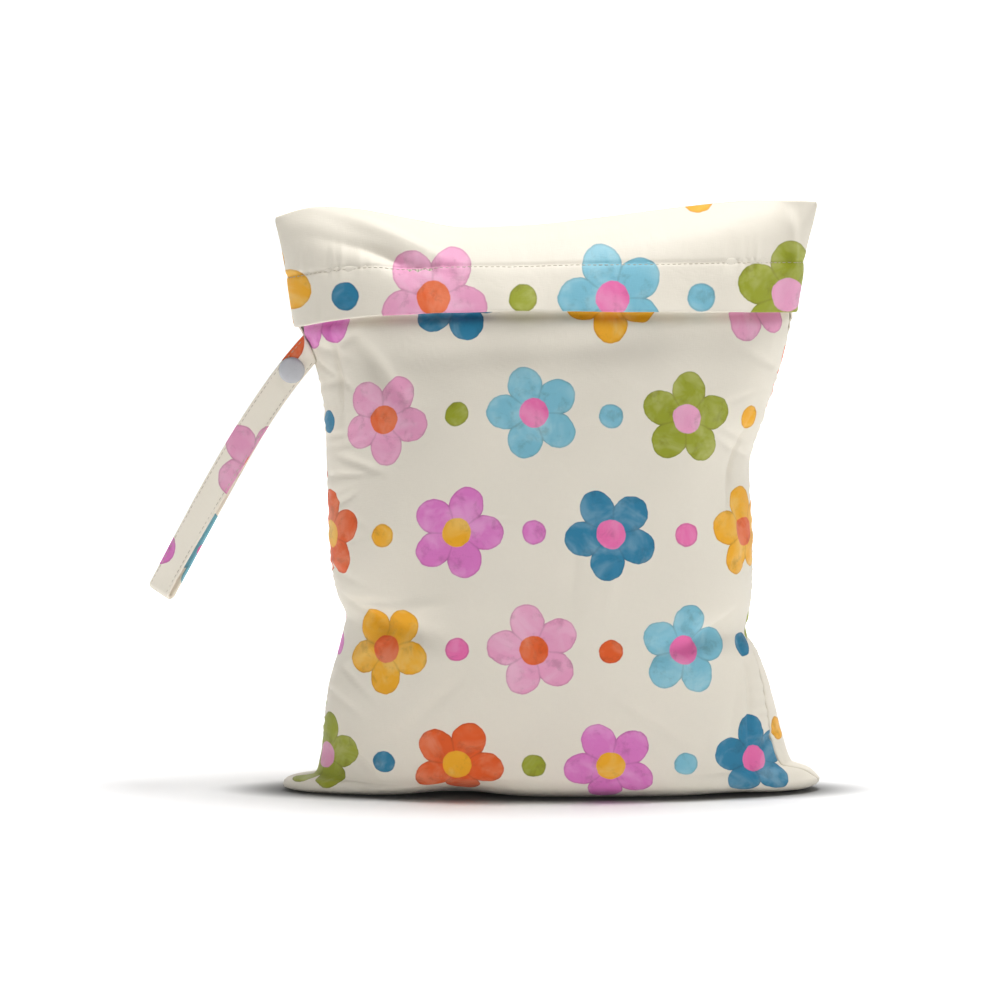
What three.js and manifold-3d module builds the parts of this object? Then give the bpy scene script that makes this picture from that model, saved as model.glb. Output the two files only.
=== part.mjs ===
// A stuffed cloth wet bag with a zip top: two sewn panels, a flap over the zip and a snapped wrist strap.
// Millimetres, +Z up, the front faces -Y. The origin lies on the flat base, under the bag's middle.
import * as THREE from 'three';
import { mergeVertices } from 'three/addons/utils/BufferGeometryUtils.js';
import Module from 'manifold-3d';

// Driving sizes of the bag
const bagWidth = 296;
const bagHeight = 304;
const bagDepth = 110;
const clothWall = 1.4;
const seamGap = 0.3;
const bottomSeamShift = 8;
const ovalSquareness = 0.86;

// Flap over the zip
const hemWall = 2;
const hemRounding = 1.2;
const lapGap = 0.6;
const tuckLength = 8;
const tuckBlend = 18;
const zipWidth = 14;
const zipWall = 1;

// Wrist strap, folded at its far end
const strapLength = 152;
const strapWidth = 15;
const strapWall = 1.8;
const strapGapAtSnap = 2.4;
const strapGapAtFold = 3.4;
const strapRootHeight = 239;
const strapRootAngle = 48;
const strapTipAngle = 61.8;
const strapTwistAngle = 36;
const strapBendPower = 3;
const strapSpreadShare = 0.6;

// Snap fastener that closes the strap
const snapFromRoot = 14;
const snapDiameter = 14;
const snapDome = 2.4;
const snapPostDiameter = 3.6;
const snapStudDiameter = 11;
const snapLipShare = 0.35;
const snapClearance = 0.2;
const seatGap = 0.3;

// Facets
const frontColumns = 27;
const backColumns = 23;
const zipRows = 2;
const plainBandRows = 5;
const strapRows = 22;
const foldSteps = 6;
const strapColumns = 3;
const snapSides = 24;
const domeSteps = [0.35, 0.65, 0.88];
const plainRowsBelow = 0.1;
const evenRowsShare = 0.6;

// How finely directions and the strap's curve are worked out
const normalStep = 0.004;
const strapCurveSteps = 60;
const strapStartSteps = 24;
const mergeDistance = 1e-3;

// Cross-sections from the base up. height is a share of bagHeight, left and right are shares of
// half the width, front and back are shares of half the depth, point is 1 for a full oval side and
// more for a side that runs to an edge, and seamTurn is how far the right seam lies round to the front.
const sectionColumns = ['height', 'left', 'right', 'front', 'back', 'point', 'seamTurn'];
const sections = [
  [0.000, 0.935, 0.900, 0.46, 0.48, 0.90, 0],
  [0.006, 0.974, 0.972, 0.60, 0.64, 0.95, 0],
  [0.014, 0.958, 1.000, 0.70, 0.75, 1.05, 6],
  [0.020, 0.868, 0.990, 0.76, 0.80, 1.16, 9],
  [0.031, 0.848, 0.966, 0.81, 0.84, 1.24, 13],
  [0.044, 0.841, 0.898, 0.85, 0.88, 1.22, 18],
  [0.092, 0.829, 0.864, 0.91, 0.95, 1.12, 19],
  [0.180, 0.806, 0.820, 0.97, 1.00, 1.06, 16],
  [0.245, 0.770, 0.770, 0.98, 1.00, 1.05, 12],
  [0.285, 0.749, 0.726, 0.97, 0.98, 1.05, 8],
  [0.308, 0.741, 0.736, 0.97, 0.98, 1.05, 6],
  [0.345, 0.774, 0.750, 0.97, 0.97, 1.05, 3],
  [0.430, 0.800, 0.751, 0.95, 0.95, 1.02, 0],
  [0.575, 0.808, 0.735, 0.93, 0.92, 1.04, 0],
  [0.680, 0.820, 0.797, 0.92, 0.87, 1.12, 0],
  [0.763, 0.852, 0.852, 0.89, 0.77, 1.26, 0],
  [0.829, 0.918, 0.893, 0.86, 0.64, 1.38, 0],
  [0.872, 0.938, 0.914, 0.80, 0.54, 1.42, 0],
  [0.914, 0.956, 0.936, 0.70, 0.42, 1.45, 0],
  [0.945, 0.969, 0.950, 0.57, 0.31, 1.48, 0],
  [0.970, 0.982, 0.965, 0.38, 0.19, 1.50, 0],
  [1.000, 0.997, 0.980, 0.00, 0.00, 1.50, 0],
];

// Top edge: how far it rises above the dip, as a share of bagHeight, from the left corner to the right
const topEdgeColumns = ['across', 'rise'];
const topEdge = [
  [-1.00, 0.022],
  [-0.86, 0.036],
  [-0.70, 0.032],
  [-0.50, 0.015],
  [-0.30, 0.000],
  [-0.10, 0.003],
  [0.15, 0.015],
  [0.50, 0.036],
  [0.78, 0.048],
  [1.00, 0.049],
];
const topEdgeBlendShare = 0.72;

// Lower edge of the flap, as shares of half the width and of bagHeight
const hemColumns = ['across', 'height'];
const hemLine = [
  [-1.00, 0.823],
  [-0.90, 0.827],
  [-0.78, 0.834],
  [-0.55, 0.846],
  [-0.25, 0.859],
  [0.00, 0.857],
  [0.30, 0.849],
  [0.60, 0.842],
  [1.00, 0.837],
];

// Main folds and hollows of the cloth. across is a share of half the width, height, run and spread are
// shares of bagHeight, lean is the fold's angle from level in degrees, depth is a share of bagDepth
// and face is 1 on the front and -1 on the back.
const foldColumns = ['face', 'across', 'height', 'lean', 'run', 'spread', 'depth'];
const folds = [
  [1, -0.72, 0.308, -12, 0.110, 0.022, 0.028],
  [1, 0.66, 0.275, 14, 0.120, 0.022, 0.030],
  [1, -0.70, 0.745, -58, 0.070, 0.020, 0.030],
  [1, -0.10, 0.795, 2, 0.330, 0.030, 0.024],
  [1, -0.36, 0.020, 0, 0.100, 0.020, 0.020],
  [1, -0.60, 0.930, -24, 0.090, 0.020, 0.022],
  [1, 0.90, 0.930, 84, 0.080, 0.018, 0.024],
  [-1, -0.62, 0.300, 10, 0.150, 0.026, 0.030],
  [-1, 0.64, 0.290, -12, 0.150, 0.026, 0.028],
  [-1, 0.05, 0.810, 0, 0.300, 0.034, 0.026],
];

// Finishes seen on the cloth and the snap
const finishes = {
  print: { color: 0xf0e7d8, roughness: 0.62, metalness: 0 },
  zip: { color: 0xe6dfd2, roughness: 0.7, metalness: 0 },
  snap: { color: 0xc9c9cf, roughness: 0.32, metalness: 0 },
};

const radians = THREE.MathUtils.degToRad;
const blend = (value, from, to) => THREE.MathUtils.smoothstep(value, from, to);
const mix = THREE.MathUtils.lerp;

// A smooth value from one column of a table, at a place along its key column.
// The slopes are limited, so the curve never swings past its rows.
function readTable(table, columns, key, name, place) {
  const k = columns.indexOf(key);
  const c = columns.indexOf(name);
  const last = table.length - 1;
  if (place <= table[0][k]) return table[0][c];
  if (place >= table[last][k]) return table[last][c];
  const slopeOf = (i) => (table[i + 1][c] - table[i][c]) / (table[i + 1][k] - table[i][k]);
  const tangent = (i) => {
    if (i === 0) return slopeOf(0);
    if (i === last) return slopeOf(last - 1);
    const before = slopeOf(i - 1);
    const after = slopeOf(i);
    return before * after <= 0 ? 0 : (2 * before * after) / (before + after);
  };
  let i = 0;
  while (place > table[i + 1][k]) i += 1;
  const span = table[i + 1][k] - table[i][k];
  const t = (place - table[i][k]) / span;
  const rise = table[i + 1][c] - table[i][c];
  const bendIn = tangent(i) * span - rise;
  const bendOut = rise - tangent(i + 1) * span;
  return table[i][c] + t * rise + t * (1 - t) * ((1 - t) * bendIn + t * bendOut);
}

const section = (name, height) => readTable(sections, sectionColumns, 'height', name, height);
const topRise = (across) => bagHeight * readTable(topEdge, topEdgeColumns, 'across', 'rise', across);
const hemHeight = (across) => readTable(hemLine, hemColumns, 'across', 'height', across);

// The inside of the stuffed bag as one closed ring at each height.
// turn runs from the left seam at -90 degrees over the front at 0 to the right seam at 90 and the back at 180.
function bodyPoint(turn, height) {
  const side = Math.sin(turn);
  const facing = Math.cos(turn);
  const halfWidth = section(side < 0 ? 'left' : 'right', height) * bagWidth / 2 - clothWall;
  const halfDepth = section(facing > 0 ? 'front' : 'back', height) * (bagDepth / 2 - clothWall);
  const across = Math.sign(side) * Math.abs(side) ** ovalSquareness;
  const rise = topRise(across) * blend(height, topEdgeBlendShare, 1);
  return new THREE.Vector3(
    across * halfWidth,
    -Math.sign(facing) * halfDepth * Math.abs(facing) ** section('point', height),
    clothWall + height * (bagHeight - clothWall) + rise,
  );
}

// Which way the cloth faces outwards at a place on the ring
function bodyNormal(turn, height) {
  const low = Math.max(0, height - normalStep);
  const high = Math.min(1, height + normalStep);
  const round = bodyPoint(turn + normalStep, height).sub(bodyPoint(turn - normalStep, height));
  const upward = bodyPoint(turn, high).sub(bodyPoint(turn, low));
  return round.cross(upward).normalize();
}

// How deep the folds push the cloth in at a place on the ring, at most into half of the room behind it
function foldDepth(turn, height) {
  const side = Math.sin(turn);
  const across = Math.sign(side) * Math.abs(side) ** ovalSquareness;
  let depth = 0;
  for (const row of folds) {
    const fold = Object.fromEntries(foldColumns.map((name, i) => [name, row[i]]));
    if (fold.face * Math.cos(turn) <= 0) continue;
    const dx = (across - fold.across) * bagWidth / 2;
    const dz = (height - fold.height) * bagHeight;
    const lean = radians(fold.lean);
    const along = (dx * Math.cos(lean) + dz * Math.sin(lean)) / (fold.run * bagHeight);
    const over = (dz * Math.cos(lean) - dx * Math.sin(lean)) / (fold.spread * bagHeight);
    depth += fold.depth * bagDepth * Math.exp(-along * along - over * over);
  }
  const room = Math.abs(bodyPoint(turn, height).y) / 2;
  return room > 0 ? room * (1 - Math.exp(-depth / room)) : 0;
}

// A place in the cloth, offset outwards from the inside face
function clothPoint(turn, height, offset) {
  const point = bodyPoint(turn, height);
  return point.addScaledVector(bodyNormal(turn, height), offset - foldDepth(turn, height));
}

// A panel's place across, -1 at its left seam and 1 at its right one, as a turn round the ring
function frontTurn(place, height) {
  const rightSeam = Math.PI / 2 - radians(section('seamTurn', height));
  return mix(-Math.PI / 2, rightSeam, (place + 1) / 2);
}

function backTurn(place, height) {
  const rightSeam = Math.PI / 2 - radians(section('seamTurn', height));
  return mix(Math.PI * 1.5, rightSeam, (place + 1) / 2);
}

// A closed sheet from a grid of points on its inner and outer face
function sheetSolid(rows, columns, pointAt) {
  const vertices = [];
  const faces = [];
  const index = (row, column, face) => (row * (columns + 1) + column) * 2 + face;
  for (let row = 0; row <= rows; row += 1) {
    for (let column = 0; column <= columns; column += 1) {
      vertices.push(pointAt(row, column, 0), pointAt(row, column, 1));
    }
  }
  const quad = (a, b, c, d) => faces.push([a, b, c], [a, c, d]);
  for (let row = 0; row < rows; row += 1) {
    for (let column = 0; column < columns; column += 1) {
      const corners = (face) => [
        index(row, column, face),
        index(row, column + 1, face),
        index(row + 1, column + 1, face),
        index(row + 1, column, face),
      ];
      const [a, b, c, d] = corners(0);
      quad(...corners(1));
      quad(a, d, c, b);
    }
  }
  for (let column = 0; column < columns; column += 1) {
    quad(index(0, column, 0), index(0, column + 1, 0), index(0, column + 1, 1), index(0, column, 1));
    quad(index(rows, column, 1), index(rows, column + 1, 1), index(rows, column + 1, 0), index(rows, column, 0));
  }
  for (let row = 0; row < rows; row += 1) {
    quad(index(row, 0, 1), index(row + 1, 0, 1), index(row + 1, 0, 0), index(row, 0, 0));
    quad(index(row, columns, 0), index(row + 1, columns, 0), index(row + 1, columns, 1), index(row, columns, 1));
  }
  return closedGeometry(vertices, faces);
}

// Merges the shared points, drops the faces that shrank to a line and turns the shell outwards
function closedGeometry(vertices, faces) {
  const loose = new THREE.BufferGeometry();
  loose.setAttribute('position', new THREE.Float32BufferAttribute(vertices.flatMap((v) => v.toArray()), 3));
  loose.setIndex(faces.flat());
  const geometry = mergeVertices(loose, mergeDistance);
  const place = geometry.getAttribute('position');
  const corner = (i) => new THREE.Vector3().fromBufferAttribute(place, i);
  const kept = [];
  let volume = 0;
  for (let i = 0; i < geometry.index.count; i += 3) {
    const [a, b, c] = [0, 1, 2].map((k) => geometry.index.getX(i + k));
    if (a === b || b === c || c === a) continue;
    kept.push([a, b, c]);
    volume += corner(a).dot(corner(b).cross(corner(c)));
  }
  geometry.setIndex(kept.flatMap(([a, b, c]) => (volume < 0 ? [a, c, b] : [a, b, c])));
  return geometry;
}

// Heights of a panel's rows: the sections' own heights with one more between each two
function panelHeights() {
  const heights = [];
  for (let i = 0; i + 1 < sections.length; i += 1) {
    heights.push(sections[i][0]);
    if (sections[i + 1][0] > plainRowsBelow) heights.push((sections[i][0] + sections[i + 1][0]) / 2);
  }
  return [...heights, 1];
}

const panelRowHeights = panelHeights();

// A sewn panel. Its first two rows cross the flat base from the bottom seam to the lowest ring.
function panelGeometry(columns, turnAt, seamSide, topAt, shiftAt) {
  const bottomSeamShare = bottomSeamShift / (section('back', 0) * (bagDepth / 2 - clothWall));
  const heights = panelRowHeights;
  const ring = (place, height, face) => {
    const turn = turnAt(place, height);
    const point = clothPoint(turn, height, shiftAt(place, height) + face * clothWall);
    point.y += seamSide * seamGap / 2;
    return point;
  };
  const onBase = (place, share, face) => {
    const edge = ring(place, 0, face);
    const back = bodyPoint(backTurn(place, 0), 0);
    const seamY = back.y * bottomSeamShare + seamSide * seamGap / 2;
    const y = Math.abs(place) === 1 ? edge.y : mix(seamY, edge.y, share);
    return new THREE.Vector3(edge.x, y, (1 - face) * clothWall);
  };
  return sheetSolid(heights.length + 1, columns, (row, column, face) => {
    const place = -1 + 2 * column / columns;
    if (row <= 2) return onBase(place, row / 2, face);
    const level = heights[row - 2];
    const stretch = Math.max(0, level - evenRowsShare) / (1 - evenRowsShare);
    return ring(place, mix(Math.min(level, evenRowsShare), topAt(place), stretch), face);
  });
}

// The layers under and in the flap change places near the side seams, where they run flush
const lap = clothWall + lapGap;
const sideShare = (place) => Math.abs(place) ** 6;
const acrossAt = (place) => Math.sign(place) * Math.abs(Math.sin(place * Math.PI / 2)) ** ovalSquareness;
const hemAt = (place) => hemHeight(acrossAt(place));
const panelTopAt = (place) => hemAt(place) + tuckLength / bagHeight;
const zipTopAt = (place) => panelTopAt(place) + (zipWidth + seamGap) / bagHeight;

function frontPanel() {
  const shiftAt = (place, height) => {
    const hem = hemAt(place);
    return -lap * sideShare(place) * blend(height, hem - tuckBlend / bagHeight, hem);
  };
  return panelGeometry(frontColumns, frontTurn, -1, panelTopAt, shiftAt);
}

function backPanel() {
  return panelGeometry(backColumns, backTurn, 1, () => 1, () => 0);
}

// The heights of the zip's rows, from its lower to its upper edge
function zipRowHeights(place) {
  const low = panelTopAt(place) + seamGap / bagHeight;
  return Array.from({ length: zipRows + 1 }, (_, row) => mix(low, zipTopAt(place), row / zipRows));
}

// The closed zip under the flap, one plain strip
function zipStrip() {
  return sheetSolid(zipRows, frontColumns, (row, column, face) => {
    const place = -1 + 2 * column / frontColumns;
    const height = zipRowHeights(place)[row];
    const offset = lapGap / 2 + face * zipWall - lap * sideShare(place);
    const point = clothPoint(frontTurn(place, height), height, offset);
    point.y -= seamGap / 2;
    return point;
  });
}

// The top band: one layer above the zip, folded double where it hangs over the zip as a flap
function topBand() {
  const step = hemRounding / bagHeight;
  const flapRows = zipRows + 3;
  const rows = flapRows + 1 + plainBandRows;
  return sheetSolid(rows, frontColumns, (row, column, face) => {
    const place = -1 + 2 * column / frontColumns;
    const hem = hemAt(place);
    const zipEnd = zipTopAt(place) + seamGap / bagHeight;
    const lower = [hem, hem + step, ...zipRowHeights(place), zipEnd];
    const upper = (row - flapRows - 1) / plainBandRows;
    const height = row <= flapRows ? lower[row] : mix(zipEnd + step, 1, upper);
    const inside = row <= flapRows ? lap * (1 - sideShare(place)) : 0;
    const hemOutside = lap * (1 - sideShare(place)) + hemWall;
    const outside = mix(hemOutside, clothWall, blend(height, hem + step, 1));
    const rounding = row === 0 ? hemWall / 3 : 0;
    const offset = face === 1 ? outside - rounding : inside + rounding;
    const point = clothPoint(frontTurn(place, height), height, offset);
    point.y -= seamGap / 2;
    return point;
  });
}

// The strap's own frame at a share of its length: centre, direction, width and front side
function strapFrame(share) {
  const steps = strapCurveSteps;
  const lean = (s) => radians(mix(strapRootAngle, strapTipAngle, 1 - (1 - s) ** strapBendPower));
  const rootHeight = (strapRootHeight - clothWall) / (bagHeight - clothWall);
  const centre = clothPoint(-Math.PI / 2, rootHeight, clothWall);
  centre.y = 0;
  for (let i = 0; i < steps; i += 1) {
    const angle = lean((i + 0.5) / steps * share);
    centre.x -= Math.cos(angle) * strapLength * share / steps;
    centre.z -= Math.sin(angle) * strapLength * share / steps;
  }
  const angle = lean(share);
  const along = new THREE.Vector3(-Math.cos(angle), 0, -Math.sin(angle));
  const level = new THREE.Vector3(Math.sin(angle), 0, -Math.cos(angle));
  const twist = radians(strapTwistAngle) * blend(share, snapRegion, 1);
  const front = new THREE.Vector3(0, -Math.cos(twist), 0).addScaledVector(level, -Math.sin(twist));
  const wide = level.clone().multiplyScalar(Math.cos(twist)).add(new THREE.Vector3(0, -Math.sin(twist), 0));
  return { centre, along, wide, front };
}

// The strap stays flat under the snap and only turns beyond it
const snapRegion = (snapFromRoot + snapDiameter) / strapLength;

// Where the strap starts at a place across its width, so that it ends just clear of the bag's side seam
function strapStart(across) {
  let low = -strapWidth / strapLength;
  let high = strapWidth / strapLength;
  for (let i = 0; i < strapStartSteps; i += 1) {
    const share = (low + high) / 2;
    const point = strapMiddle(share, across);
    const height = (point.z - clothWall) / (bagHeight - clothWall);
    const side = clothPoint(-Math.PI / 2, height, clothWall + seatGap);
    if (point.x > side.x) low = share;
    else high = share;
  }
  return high;
}

function strapMiddle(share, across) {
  const frame = strapFrame(Math.max(0, share));
  const beyond = Math.min(0, share) * strapLength;
  return frame.centre.addScaledVector(frame.along, beyond).addScaledVector(frame.wide, across * strapWidth / 2);
}

// Half the distance between the middles of the strap's two layers
function strapHalfSpread(share) {
  const clear = mix(strapGapAtSnap, strapGapAtFold, blend(share, snapRegion, strapSpreadShare));
  return (clear + strapWall) / 2;
}

// A place in the strap. row counts down the front layer, round the fold and back up the rear layer.
function strapPoint(row, across, face) {
  const skin = (face - 0.5) * strapWall;
  const start = strapStart(across);
  const onFront = row <= strapRows;
  const onBack = row >= strapRows + foldSteps;
  if (onFront || onBack) {
    const count = onFront ? row : 2 * strapRows + foldSteps - row;
    const share = mix(start, 1, count / strapRows);
    const frame = strapFrame(Math.max(0, share));
    const offset = (strapHalfSpread(share) + skin) * (onFront ? 1 : -1);
    return strapMiddle(share, across).addScaledVector(frame.front, offset);
  }
  const frame = strapFrame(1);
  const angle = Math.PI * (row - strapRows) / foldSteps;
  const radius = strapHalfSpread(1) + skin;
  return strapMiddle(1, across)
    .addScaledVector(frame.front, radius * Math.cos(angle))
    .addScaledVector(frame.along, radius * Math.sin(angle));
}

// Joins and cuts are done on closed solids with shared points only
const wasm = await Module();
wasm.setup();

// The shape alone, with the points that lie together made one
function mergedShape(geometry) {
  const bare = geometry.clone();
  bare.deleteAttribute('normal');
  bare.deleteAttribute('uv');
  return mergeVertices(bare, mergeDistance);
}

function toManifold(geometry) {
  const merged = mergedShape(geometry);
  return new wasm.Manifold(new wasm.Mesh({
    numProp: 3,
    vertProperties: new Float32Array(merged.getAttribute('position').array),
    triVerts: new Uint32Array(merged.index.array),
  }));
}

function fromManifold(solid) {
  const mesh = solid.getMesh();
  const geometry = new THREE.BufferGeometry();
  geometry.setAttribute('position', new THREE.BufferAttribute(mesh.vertProperties, 3));
  geometry.setIndex(new THREE.BufferAttribute(mesh.triVerts, 1));
  return geometry;
}

// Puts a solid made along +Y onto the snap's axis, which points out of the strap's front face
function ontoSnapAxis(geometry) {
  const frame = strapFrame(snapFromRoot / strapLength);
  const turn = new THREE.Matrix4().makeBasis(frame.wide, frame.front, frame.along);
  return geometry.applyMatrix4(turn.setPosition(frame.centre));
}

const frontFaceAt = strapHalfSpread(0) + strapWall / 2;
const innerFaceAt = strapHalfSpread(0) - strapWall / 2;

function wristStrap() {
  const rows = 2 * strapRows + foldSteps;
  const band = sheetSolid(rows, strapColumns, (row, column, face) => (
    strapPoint(row, -1 + 2 * column / strapColumns, face)
  ));
  const holeRadius = snapPostDiameter / 2 + snapClearance;
  const hole = ontoSnapAxis(new THREE.CylinderGeometry(holeRadius, holeRadius, 4 * frontFaceAt, snapSides));
  return fromManifold(toManifold(band).subtract(toManifold(hole)));
}

// A domed cap from its flat seat up, with a post below it, as radius and height pairs
function capProfile(seat, postEnd) {
  const radius = snapDiameter / 2;
  const lip = snapDome * snapLipShare;
  const profile = [
    [0, postEnd],
    [snapPostDiameter / 2, postEnd],
    [snapPostDiameter / 2, seat],
    [radius - lip / 2, seat],
    [radius, seat + lip],
  ];
  for (const step of domeSteps) {
    const angle = step * Math.PI / 2;
    profile.push([radius * Math.cos(angle), seat + lip + (snapDome - lip) * Math.sin(angle)]);
  }
  return [...profile, [0, seat + snapDome]];
}

function latheOf(profile) {
  const outline = profile.map(([radius, height]) => new THREE.Vector2(radius, height));
  return new THREE.LatheGeometry(outline, snapSides);
}

const studHalf = innerFaceAt - seatGap;

function snapCap() {
  return ontoSnapAxis(latheOf(capProfile(frontFaceAt + seatGap, studHalf + seatGap)));
}

// The hidden half of the snap: a stud between the layers, its post and the cap behind the strap
function snapStud() {
  const radius = snapStudDiameter / 2;
  const seat = frontFaceAt + seatGap;
  const profile = capProfile(seat, studHalf).slice(2).map(([r, height]) => [r, -height]);
  profile.unshift([0, studHalf], [radius, studHalf], [radius, -studHalf], [snapPostDiameter / 2, -studHalf]);
  return ontoSnapAxis(latheOf(profile));
}

function tidyGeometry(geometry) {
  const merged = mergedShape(geometry);
  const place = merged.getAttribute('position');
  const vertices = Array.from({ length: place.count }, (_, i) => new THREE.Vector3().fromBufferAttribute(place, i));
  const faces = Array.from({ length: merged.index.count / 3 }, (_, i) => (
    [0, 1, 2].map((k) => merged.index.getX(3 * i + k))
  ));
  return closedGeometry(vertices, faces);
}

function namedPiece(name, geometry, finish) {
  const piece = new THREE.Mesh(tidyGeometry(geometry), new THREE.MeshStandardMaterial(finish));
  piece.geometry.computeVertexNormals();
  piece.name = name;
  return piece;
}

const wetBag = new THREE.Group();
wetBag.add(
  namedPiece('front_panel', frontPanel(), finishes.print),
  namedPiece('back_panel', backPanel(), finishes.print),
  namedPiece('top_band', topBand(), finishes.print),
  namedPiece('zip', zipStrip(), finishes.zip),
  namedPiece('wrist_strap', wristStrap(), finishes.print),
  namedPiece('snap_cap', snapCap(), finishes.snap),
  namedPiece('snap_stud', snapStud(), finishes.snap),
);

export default wetBag;
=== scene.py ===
"""A stuffed cloth wet bag with a zip top: printed panels, a flap over the zip and a snapped wrist strap.

Metres, +Z up, the front faces -Y, and the bag stands on z = 0.
"""

import math

import bmesh
import bpy
import numpy as np
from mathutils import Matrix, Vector


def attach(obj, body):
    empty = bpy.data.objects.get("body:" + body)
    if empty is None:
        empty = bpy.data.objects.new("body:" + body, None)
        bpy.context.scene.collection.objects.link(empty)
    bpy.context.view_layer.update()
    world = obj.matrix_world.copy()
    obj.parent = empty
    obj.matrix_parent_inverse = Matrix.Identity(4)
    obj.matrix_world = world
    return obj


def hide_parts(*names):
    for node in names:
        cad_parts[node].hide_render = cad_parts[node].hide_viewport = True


bl_info = {
    "name": "Cloth Wet Bag",
    "version": (1, 0, 0),
    "blender": (4, 5, 0),
    "location": "3D View > Sidebar > Wet Bag",
    "description": "Builds a stuffed, printed wet bag with a snapped wrist strap",
    "category": "Object",
}

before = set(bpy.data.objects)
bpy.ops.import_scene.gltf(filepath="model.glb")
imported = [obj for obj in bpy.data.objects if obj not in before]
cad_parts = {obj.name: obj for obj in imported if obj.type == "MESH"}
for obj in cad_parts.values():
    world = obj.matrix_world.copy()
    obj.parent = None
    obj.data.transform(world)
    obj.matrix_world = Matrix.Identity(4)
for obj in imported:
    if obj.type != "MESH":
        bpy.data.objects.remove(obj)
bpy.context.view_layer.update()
BODY = "root"


# Sizes and colours that a user would change


def length(name, description, default):
    """A property that holds a length in metres."""
    return bpy.props.FloatProperty(
        name=name,
        description=description,
        default=default,
        min=0,
        precision=4,
        subtype="DISTANCE",
        unit="LENGTH",
    )


def tint(name, description, red, green, blue):
    """A property that holds a colour, given as it shows on screen from 0 to 255."""
    shown = [level / 255 for level in (red, green, blue)]
    linear = [s / 12.92 if s < 0.04045 else ((s + 0.055) / 1.055) ** 2.4 for s in shown]
    return bpy.props.FloatVectorProperty(
        name=name, description=description, default=linear, min=0, max=1, size=3, subtype="COLOR"
    )


class WetBagSizes(bpy.types.PropertyGroup):
    """Sizes of the bag and of its trimmings."""

    bag_width: length("Bag width", "Width of the flat bag", 0.296)
    bag_height: length("Bag height", "Height of the standing bag at the dip of its top edge", 0.304)
    bag_depth: length("Bag depth", "Depth of the stuffed bag", 0.11)
    cloth_wall: length("Cloth wall", "Thickness of a panel", 0.0014)
    seam_gap: length("Seam gap", "Groove between two panels at a seam", 0.0003)
    seam_roll: length("Seam roll", "How far a panel's edge rounds into its seam", 0.0016)
    bottom_seam_shift: length("Bottom seam shift", "How far the bottom seam lies behind the middle", 0.008)
    hem_wall: length("Hem wall", "Thickness of the folded flap at its lower edge", 0.002)
    lap_gap: length("Lap gap", "Room between the flap and what it covers", 0.0006)
    tuck: length("Tuck", "How far the front panel runs up under the flap", 0.008)
    band_stitch_height: length("Band stitch height", "Height of the band's stitches over its hem", 0.0275)
    strap_length: length("Strap length", "Length of the folded strap", 0.152)
    strap_width: length("Strap width", "Width of the strap", 0.015)
    strap_wall: length("Strap wall", "Thickness of one layer of the strap", 0.0018)
    strap_gap_at_snap: length("Strap gap at snap", "Room between the strap's layers at the snap", 0.0024)
    strap_gap_at_fold: length("Strap gap at fold", "Room between the strap's layers at its fold", 0.0034)
    strap_root_height: length("Strap root height", "Height at which the strap leaves the side seam", 0.239)
    snap_from_root: length("Snap from root", "Distance of the snap from the strap's root", 0.014)
    snap_diameter: length("Snap diameter", "Diameter of the snap's cap", 0.014)
    snap_dome: length("Snap dome", "Height of the snap's cap", 0.0024)
    snap_post: length("Snap post", "Diameter of the snap's post", 0.0036)
    seat_gap: length("Seat gap", "Room between the snap and the strap", 0.0003)
    stitch_pitch: length("Stitch pitch", "Distance from stitch to stitch", 0.0030)
    stitch_length: length("Stitch length", "Visible length of one stitch", 0.0022)
    thread: length("Thread", "Thickness of the sewing thread", 0.0004)
    flower_pitch: length("Flower pitch", "Distance between two flowers of a row", 0.082)
    row_pitch: length("Row pitch", "Distance between two rows of flowers", 0.063)
    flower_radius: length("Flower radius", "Radius of a flower", 0.0252)
    dot_radius: length("Dot radius", "Radius of a dot", 0.0066)


class WetBagColours(bpy.types.PropertyGroup):
    """Colours of the cloth, its print and the trimmings."""

    cloth: tint("Cloth", "Ground of the printed cloth", 240, 233, 218)
    orange: tint("Orange", "Print colour", 232, 92, 22)
    pink: tint("Pink", "Print colour", 238, 163, 199)
    blue: tint("Blue", "Print colour", 38, 128, 166)
    golden: tint("Golden", "Print colour", 246, 176, 24)
    orchid: tint("Orchid", "Print colour", 226, 124, 200)
    green: tint("Green", "Print colour", 154, 162, 34)
    sky: tint("Sky", "Print colour", 126, 192, 212)
    rose: tint("Rose", "Print colour of some centres and dots", 240, 112, 176)
    thread: tint("Thread", "Sewing thread", 206, 195, 174)
    snap: tint("Snap", "Plastic of the snap", 202, 203, 208)
    zip_tape: tint("Zip tape", "Woven tape of the zip", 224, 214, 194)
    floor: tint("Floor", "Floor and backdrop", 254, 254, 254)


# Shape of the stuffed bag


class Table:
    """Rows of named columns, read as smooth curves that never swing past their rows."""

    def __init__(self, columns, rows):
        self.columns = columns.split()
        self.rows = np.array(rows, float)

    def column(self, name):
        return self.rows[:, self.columns.index(name)]

    def read(self, name, place):
        keys, values = self.rows[:, 0], self.column(name)
        spans, rises = np.diff(keys), np.diff(values)
        slopes = rises / spans
        both = slopes[:-1] * slopes[1:]
        total = slopes[:-1] + slopes[1:]
        inner = np.where(both > 0, 2 * both / np.where(total == 0, 1, total), 0)
        tangents = np.concatenate([slopes[:1], inner, slopes[-1:]])
        at = np.clip(np.asarray(place, float), keys[0], keys[-1])
        i = np.clip(np.searchsorted(keys, at, side="left") - 1, 0, len(spans) - 1)
        t = (at - keys[i]) / spans[i]
        bend_in = tangents[i] * spans[i] - rises[i]
        bend_out = rises[i] - tangents[i + 1] * spans[i]
        return values[i] + t * rises[i] + t * (1 - t) * ((1 - t) * bend_in + t * bend_out)

    def each(self):
        return [dict(zip(self.columns, row)) for row in self.rows]


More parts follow.
